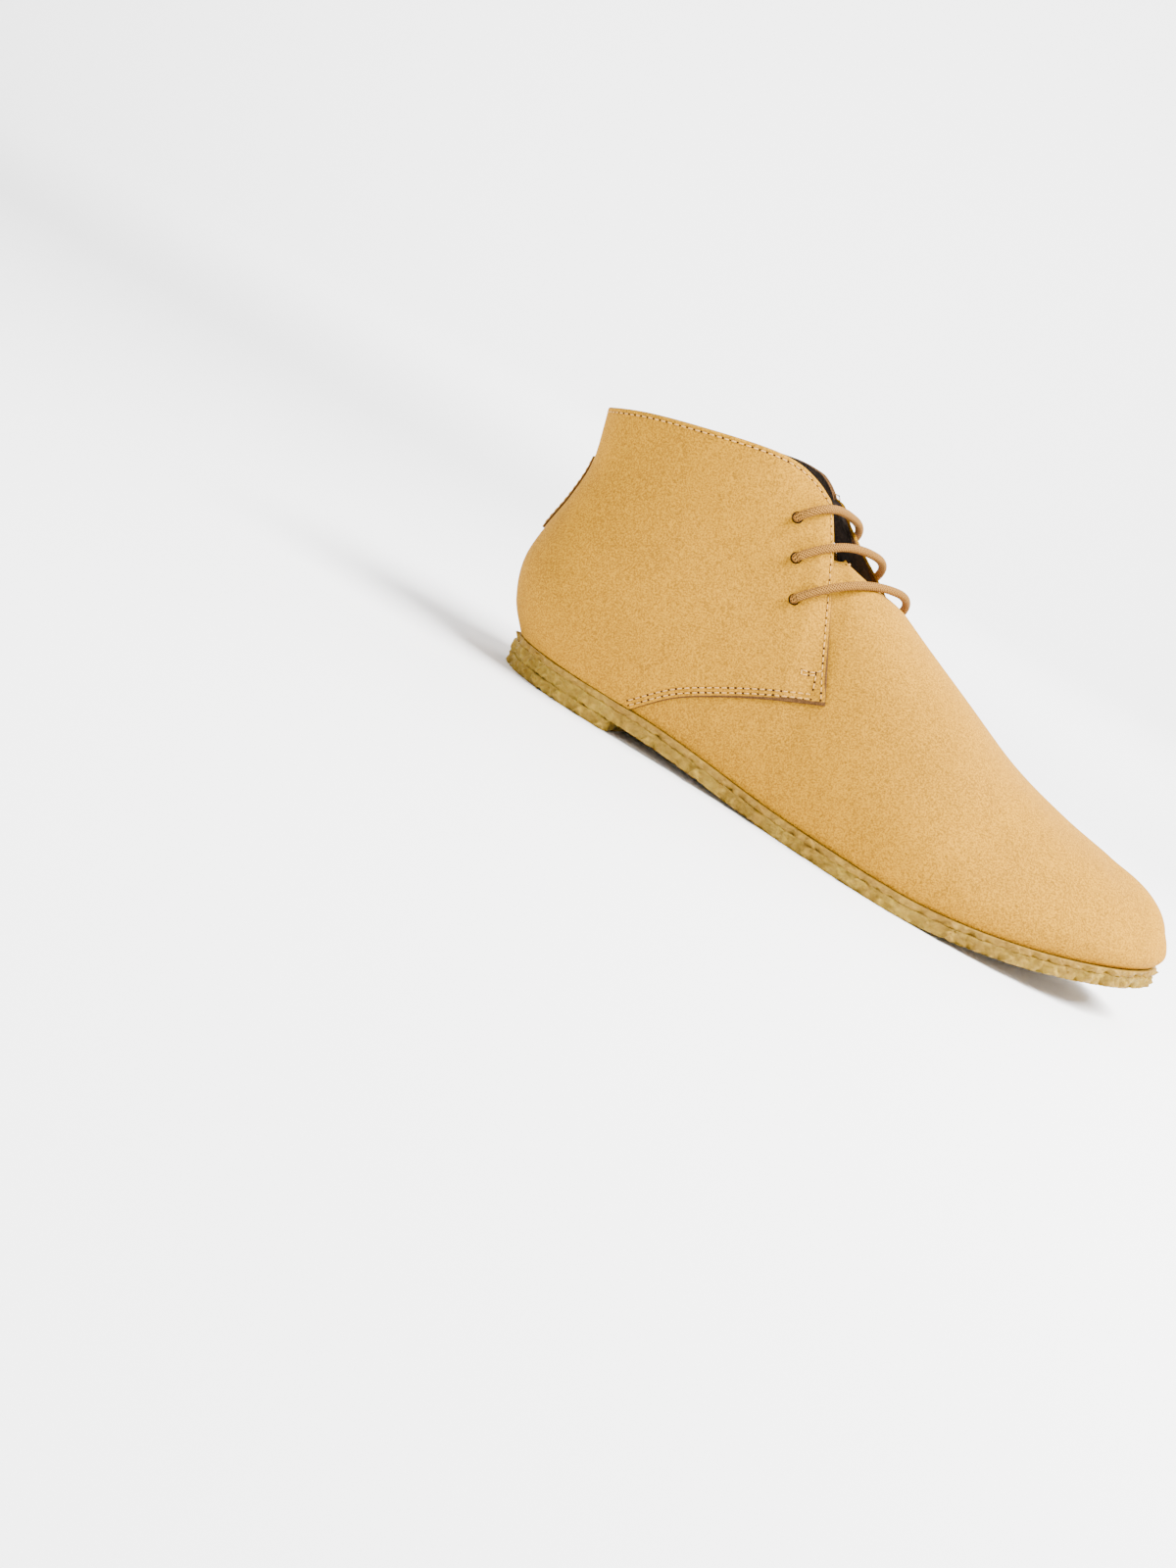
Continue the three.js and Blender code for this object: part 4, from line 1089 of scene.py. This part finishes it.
INSOLE_IN = LEDGE + WALL + 2 * GAP
inner_edge, inner_out = sole_loop(190)
inner_edge = inner_edge - inner_out * INSOLE_IN
inner_middle = spine(inner_edge)
grid, zone = slab(inner_edge, inner_out, inner_middle, lambda x: tread(x) + SOLE_TOP + GAP,
                  lambda x: tread(x) + SOLE_TOP + GAP + INSOLE_THICK, 3, 0.5, 0.4, 8)
reach = np.linalg.norm(grid[..., :2] - inner_middle[None], axis=-1)
whole = np.linalg.norm(inner_edge - inner_middle, axis=-1)[None]
dish = 1.3 * (1 - ease(reach / whole * 1.05)) * (zone == 3)[:, None]
grid[..., 2] -= dish
make_piece("insole_board", grid.reshape(-1, 3), closed_quads(*grid.shape[:2]), [insole_leather],
           replaces=["insole"], sharp=60, merge=0.002)

# %% [markdown]
# ## Back strip
# A short strip of the same nubuck covers the upper part of the seam where the quarters meet.
# Its rows run level round the back. For every row the place where the last is half a strip
# wide is found by halving, as the pattern lines were.

# %% Back strip
STRIP_HALF, STRIP_FROM, STRIP_TO = 5.5, 56.0, 93.0
STRIP_ROWS, STRIP_COLUMNS = 90, 27
STRIP_ROW_IN, STRIP_ROW_DIP, STRIP_EDGE_DIP = 1.5, 0.2, 0.35
STRIP_RISE = GAP + QUARTER_THICK + GAP
heights = np.linspace(STRIP_FROM, STRIP_TO, STRIP_ROWS)
strip_w = halve(lambda w: last(0.0, w)[..., 2] - heights, np.zeros(STRIP_ROWS), np.ones(STRIP_ROWS))
end = np.clip(np.minimum(heights - STRIP_FROM, STRIP_TO - heights) / 2.5, 0, 1)
half_width = STRIP_HALF - 1.6 * (1 - np.sqrt(1 - (1 - end) ** 2))
reach_p = halve(lambda p: -last(p, strip_w)[..., 1] - half_width,
                np.full(STRIP_ROWS, 1e-4), np.full(STRIP_ROWS, 0.05))
across_strip = np.linspace(-1, 1, STRIP_COLUMNS)
p = np.mod(-reach_p[:, None] * across_strip[None, :], 1.0)
w = np.repeat(strip_w[:, None], STRIP_COLUMNS, 1)
from_edge = (1 - np.abs(across_strip)[None, :]) * half_width[:, None]
pressed = (-STRIP_EDGE_DIP * np.clip(1 - from_edge / EDGE_WIDE, 0, 1) ** 2
           - STRIP_ROW_DIP * bell(from_edge, STRIP_ROW_IN, 0.5))
strip_normal = outward(p, w)
strip_outer = skin(p, w, STRIP_RISE + STRIP_THICK) + strip_normal * pressed[..., None]
points, faces, rim = shell(strip_outer, skin(p, w, STRIP_RISE - 0.2), 0.1)
make_piece("back_strip_leather", points, faces, [nubuck, nubuck_edge_and_shade], replaces=["back_strip"],
           face_material=rim, sharp=50)

# %% [markdown]
# ## Eyelet holes
# The eyelets are bare punched holes. Cutting them is the one job where a Boolean is the better
# tool, because a hole does not follow the grid. A round punch stands in each hole along the
# last's normal, and the cut takes over its material, the brown of the other cut edges.

# %% Punching the holes
EYELET_RADIUS, LACE_RADIUS = 2.45, 1.8
PUNCH_SIDES, PUNCH_REACH = 28, 6.0
places = {side: [find(side, x, z) for x, z in EYELETS[side]] for side in (LATERAL, MEDIAL)}


def leg(side, row, offset):
    """A point over (or under) an eyelet, offset along the last's normal, moved with the leather."""
    h, w = places[side][row]
    return skin(round_side(side, h), w, offset)


def punch(side):
    """One mesh of round bars through the eyelets of a side: rings at two ends, and two caps."""
    a = np.linspace(0, 2 * math.pi, PUNCH_SIDES, endpoint=False)
    points, faces = [], []
    for row in range(len(EYELETS[side])):
        low, high = leg(side, row, -PUNCH_REACH), leg(side, row, PUNCH_REACH)
        axis = unit(high - low)
        one = unit(np.cross(axis, [0.0, 0.0, 1.0]))
        two = np.cross(axis, one)
        ring = EYELET_RADIUS * (np.cos(a)[:, None] * one + np.sin(a)[:, None] * two)
        start = len(points) * PUNCH_SIDES
        points += [low + ring, high + ring]
        k = np.arange(PUNCH_SIDES)
        wall = np.stack([k, np.roll(k, -1), np.roll(k, -1) + PUNCH_SIDES, k + PUNCH_SIDES], -1)
        faces += (wall + start).tolist()
        faces += [(k[::-1] + start).tolist(), (k + start + PUNCH_SIDES).tolist()]
    mesh = bpy.data.meshes.new("punch")
    mesh.from_pydata(to_frame(np.concatenate(points)).tolist(), [], faces)
    mesh.materials.append(nubuck_edge_and_shade)
    tool = bpy.data.objects.new("punch", mesh)
    bpy.context.scene.collection.objects.link(tool)
    return tool


def cut_holes(piece, tool):
    """Subtracts the punch and keeps the evaluated mesh, so that no modifier is left."""
    cut = piece.modifiers.new("holes", "BOOLEAN")
    cut.operation, cut.solver, cut.object = "DIFFERENCE", "EXACT", tool
    cut.material_mode = "TRANSFER"
    done = bpy.data.meshes.new_from_object(piece.evaluated_get(bpy.context.evaluated_depsgraph_get()))
    piece.modifiers.remove(cut)
    old, piece.data = piece.data, done
    bpy.data.meshes.remove(old)
    done.set_sharp_from_angle(angle=math.radians(50))
    print(piece.name, "now has", len(done.polygons), "faces")


for side, pieces in ((LATERAL, (outer_quarter, outer_lining)), (MEDIAL, (inner_quarter, inner_lining))):
    tool = punch(side)
    for piece in pieces:
        cut_holes(piece, tool)
    bpy.data.objects.remove(tool)

# %% [markdown]
# ## Lace
# The lace is one round woven cord. It comes up inside beside the tongue, leaves through the
# lowest inner eyelet, crosses the instep in three straight bars and goes back in at the top. It
# is held by the eyelets all the way, so it is a shaped tube and no loose cord. The path is made of
# straight legs through the holes, half-ellipse bars and short runs along the inside; then it is
# spaced evenly and its corners are softened as a real cord softens them.

# %% The lace's path
BAR_RISE = GAP + QUARTER_THICK + GAP + LACE_RADIUS + 0.35
RUN_SINK = -(WALL + GAP + LACE_RADIUS + 0.9)
BARS = table("x height full_lateral full_medial",
             [(100.5, 0.9, 3.1, 2.1), (115, 1.6, 2.8, 2), (130.5, 2.3, 2.6, 1.85)])
LOOSE_END = [(119, 86), (112, 87.5), (105, 90.5), (99, 94.5), (94, 100), (88, 108)]


def bar(row, start_side):
    """Half a squarish ellipse from hole to hole: middle + half cos^(2/full) + rise sin^(2/full),
    fuller on its outer half, where it stands over the facing's edge."""
    start, stop = leg(start_side, row, BAR_RISE), leg(-start_side, row, BAR_RISE)
    x, height = BARS["x"][row], BARS["height"][row]
    station = halve(lambda t: last(t / 2, 1.0)[..., 0] - x, np.float64(0.3), np.float64(0.9))
    top = skin(station / 2, np.float64(0.9999), height)
    middle, half = (start + stop) / 2, (stop - start) / 2
    a = np.linspace(math.pi, 0, 60)
    on_lateral = (np.cos(a) < 0) == (start_side == LATERAL)
    full = np.where(on_lateral, BARS["full_lateral"][row], BARS["full_medial"][row])
    over = np.sign(np.cos(a)) * np.abs(np.cos(a)) ** (2 / full)
    up = np.maximum(np.sin(a), 0) ** (2 / full)
    return middle + over[:, None] * half + up[:, None] * (top - middle)


def hidden_run(side, row_from, row_to):
    """Along the inside between two holes of one side, level with the last's inner face."""
    (h0, w0), (h1, w1) = places[side][row_from], places[side][row_to]
    s = np.linspace(0, 1, 12)
    return skin(round_side(side, h0 + (h1 - h0) * s), w0 + (w1 - w0) * s, RUN_SINK)


spots = np.array([find(MEDIAL, x, z) for x, z in LOOSE_END[::-1]] + [places[MEDIAL][2]])
spare = through(spots, 60)
loose = skin(round_side(MEDIAL, spare[:, 0]), spare[:, 1], RUN_SINK)
path = np.concatenate([
    loose, bar(2, MEDIAL), hidden_run(LATERAL, 2, 1), bar(1, LATERAL), hidden_run(MEDIAL, 1, 0),
    bar(0, MEDIAL), leg(LATERAL, 0, RUN_SINK)[None],
])


def respace(line, step):
    """Points a step apart along a polyline."""
    run = np.concatenate([[0], np.cumsum(np.linalg.norm(np.diff(line, axis=0), axis=1))])
    at = np.linspace(0, run[-1], max(int(round(run[-1] / step)), 2) + 1)
    return np.stack([np.interp(at, run, line[:, k]) for k in range(line.shape[1])], -1)


LACE_STEP = 0.45
path = respace(path, LACE_STEP)
for _ in range(4):
    path[1:-1] = (path[:-2] + 2 * path[1:-1] + path[2:]) / 4
path = respace(path, LACE_STEP)
lace_length = np.linalg.norm(np.diff(path, axis=0), axis=1).sum()
print("lace:", round(float(lace_length)), "mm of cord in", len(path), "points")

# %% The lace's surface
AROUND = 24
WEAVE_STRANDS, WEAVE_PITCH = 4, 2.3
tangent = unit(np.gradient(path, axis=0))
AXIS_SPARED = unit(np.array([0.85, 0.12, 0.52]))       # the lace nowhere runs this way
sine = np.linalg.norm(np.cross(tangent, AXIS_SPARED), axis=1)
print("smallest angle to the spared direction:", round(float(np.degrees(np.arcsin(sine.min())))), "degrees")
one = unit(np.cross(tangent, AXIS_SPARED))
two = np.cross(tangent, one)
a = np.linspace(0, 2 * math.pi, AROUND, endpoint=False)
run = np.arange(len(path)) * LACE_STEP
turned, slanted = WEAVE_STRANDS * a[None, :], run[:, None] * 2 * math.pi / WEAVE_PITCH
strand = np.maximum(np.sin(turned + slanted), np.sin(turned - slanted))
radius = LACE_RADIUS * (0.95 + 0.055 * strand)
end_cap = np.sqrt(np.clip(1 - (1 - np.minimum(run, run[-1] - run) / 1.2).clip(0) ** 2, 0.01, 1))
tube = path[:, None] + (radius * end_cap[:, None])[..., None] * (
    np.cos(a)[None, :, None] * one[:, None] + np.sin(a)[None, :, None] * two[:, None])
points = np.concatenate([tube.reshape(-1, 3), path[[0, -1]]])
uv = np.stack(np.broadcast_arrays(a[None, :] / (2 * math.pi), run[:, None]), -1).reshape(-1, 2)
uv = np.concatenate([uv, [[0, 0], [0, run[-1]]]])
make_piece("woven_lace", points, tube_triangles(len(path), AROUND), [woven], replaces=["lace"],
           sharp=80, uv=uv)

# %% [markdown]
# ## Seams
# Tan thread runs in short stitches a little inside every cut edge. A stitch is one small
# capsule sunk in the leather between two needle holes. All stitches of the boot are one mesh: the
# capsule is worked out once and copied by turning it with each stitch's own three directions.
# Each needle hole is a small flat dark disc laid on the leather: painted shade where the hole is.

# %% Seam paths
STITCH_PITCH, STITCH_LONG, STITCH_WIDE, HOLE_WIDE = 3.1, 2.1, 0.6, 0.5
SEAM_LOW, FLAP_HALF, FLAP_ROW_IN = 14.0, 0.24, 2.4     # foot seams end this high; the tongue's row
HOOK = [(5.3, 6.1), (4.5, 12.2), (10.9, 12.5), (11.2, 14.6), (1.7, 13.9)]
HOOK_BACK, HOOK_UP = np.array([-0.875, -0.485]), np.array([-0.485, 0.875])


def laid(way, up):
    """The part of each direction that is square to up, made one long."""
    return unit(way - (way * up).sum(-1, keepdims=True) * up)


def onto(line, grid, normals):
    """Drops points onto a surface grid: subtracts the part of the gap that is along the normal."""
    who, _ = near(line, grid)
    flat, up = grid.reshape(-1, 3)[who], normals.reshape(-1, 3)[who]
    return line - ((line - flat) * up).sum(-1, keepdims=True) * up, up


def beside(edge, inner, distance, others, grid, normals):
    """A seam a distance inside a cut edge; points nearer than that to another edge are left out."""
    way = laid(inner - edge, unit(np.gradient(edge, axis=0)))
    line, _ = onto(edge + way * distance, grid, normals)
    if others is not None:
        line = line[near(line, through_points(others))[1] > distance * 0.97]
    return line


def hook(side):
    """The seam that turns at the quarter's corner, from (back, up) steps measured at the corner."""
    flat = [np.array(FACING[side][-1]) + b * HOOK_BACK + u * HOOK_UP for b, u in HOOK]
    spots = np.array([find(side, x, z) for x, z in flat])
    spots = respace(spots * [1000, 100], 0.5) / [1000, 100]
    return last(round_side(side, spots[:, 0]), spots[:, 1])


seams = []
for side in (LATERAL, MEDIAL):
    grid, normals, v = (quarter_grids[side][k] for k in ("outer", "normal", "v"))
    corner = int(np.argmin(np.abs(v - quarter_grids[side]["share"])))
    foot, facing, collar = grid[-1, :corner + 1], grid[-1, corner:], grid[:, -1]
    foot_in, facing_in, collar_in = grid[-8, :corner + 1], grid[-8, corner:], grid[:, -8]
    top = np.concatenate([beside(facing, facing_in, ROW_IN, np.concatenate([collar, foot]), grid, normals),
                          beside(collar, collar_in, ROW_IN, facing, grid, normals)[::-1]])
    seams.append((top, grid, normals))
    for distance in (ROW_IN, SECOND_ROW_IN):
        row = beside(foot, foot_in, distance, facing, grid, normals)
        seams.append((row[row[:, 2] > SEAM_LOW], grid, normals))
    seams.append((hook(side), grid, normals))
for sign in (-1, 1):
    column = int(np.argmin(np.abs(across_strip - sign * (1 - STRIP_ROW_IN / STRIP_HALF))))
    seams.append((strip_outer[4:-4, column], strip_outer, strip_normal))
flap = np.abs(across) < FLAP_HALF
seams.append((beside(vamp_outer[0, flap], vamp_outer[8, flap], FLAP_ROW_IN, None, vamp_outer, vamp_normal),
              vamp_outer, vamp_normal))
print(len(seams), "seams")

# %% Stitches and painted shade at the needle holes
def copies(template, cells, centre, along, up):
    """Copies a small mesh: point = centre + x along + y (up x along) + z up, for every stitch."""
    side_way = np.cross(up, along)
    turned = (template[None, :, :1] * along[:, None] + template[None, :, 1:2] * side_way[:, None]
              + template[None, :, 2:] * up[:, None]) + centre[:, None]
    numbers = cells[None] + (np.arange(len(centre)) * len(template))[:, None, None]
    return turned.reshape(-1, 3), numbers.reshape(-1, cells.shape[1])


CAPSULE_RINGS, CAPSULE_SIDES = 7, 6
lengthwise = np.linspace(-1, 1, CAPSULE_RINGS)
ring_angle = np.linspace(0, 2 * math.pi, CAPSULE_SIDES, endpoint=False)
half_wide = STITCH_WIDE / 2 * (1 - 0.45 * lengthwise**4)
capsule = np.stack(np.broadcast_arrays(
    (lengthwise * STITCH_LONG / 2)[:, None],
    half_wide[:, None] * np.cos(ring_angle),
    (0.16 * (1 - lengthwise**4) - 0.06)[:, None] + 0.75 * half_wide[:, None] * np.sin(ring_angle)), -1)
capsule = np.concatenate([capsule.reshape(-1, 3), capsule[[0, -1]].mean(1)])
capsule_cells = tube_triangles(CAPSULE_RINGS, CAPSULE_SIDES)
here = np.arange(CAPSULE_SIDES)
after = np.roll(here, -1)
# A flat dark disc for every needle hole: painted shade, not a hole in the leather.
dot = np.concatenate([np.stack([HOLE_WIDE * 1.2 * np.cos(ring_angle), HOLE_WIDE * np.sin(ring_angle),
                                0 * ring_angle], -1), [[0, 0, 0.05], [0, 0, -0.2]]])
dot_cells = np.concatenate([np.stack([here, after, here * 0 + CAPSULE_SIDES], -1),
                            np.stack([after, here, here * 0 + CAPSULE_SIDES + 1], -1)])

centres, ways, ups, dots, dot_ways, dot_ups = [], [], [], [], [], []
for line, grid, normals in seams:
    needle, up = onto(respace(line, STITCH_PITCH), grid, normals)
    middle, middle_up = onto((needle[:-1] + needle[1:]) / 2, grid, normals)
    way = laid(unit(np.diff(needle, axis=0)), middle_up)
    at_needle = laid(unit(np.gradient(needle, axis=0)), up)
    for store, values in zip((centres, ways, ups, dots, dot_ways, dot_ups),
                             (middle, way, middle_up, needle, at_needle, up)):
        store.append(values)
centres, ways, ups = map(np.concatenate, (centres, ways, ups))
points, triangles = copies(capsule, capsule_cells, centres + 0.12 * ups, ways, ups)
make_piece("seam_threads", points, triangles, [thread], sharp=80)
# The painted shade discs at the needle holes, all in one mesh.
dots, dot_ways, dot_ups = map(np.concatenate, (dots, dot_ways, dot_ups))
points, triangles = copies(dot, dot_cells, dots + 0.04 * dot_ups, dot_ways, dot_ups)
make_piece("painted_hole_shade_discs", points, triangles, [hole_shade_paint], sharp=80)
print(len(centres), "stitches")
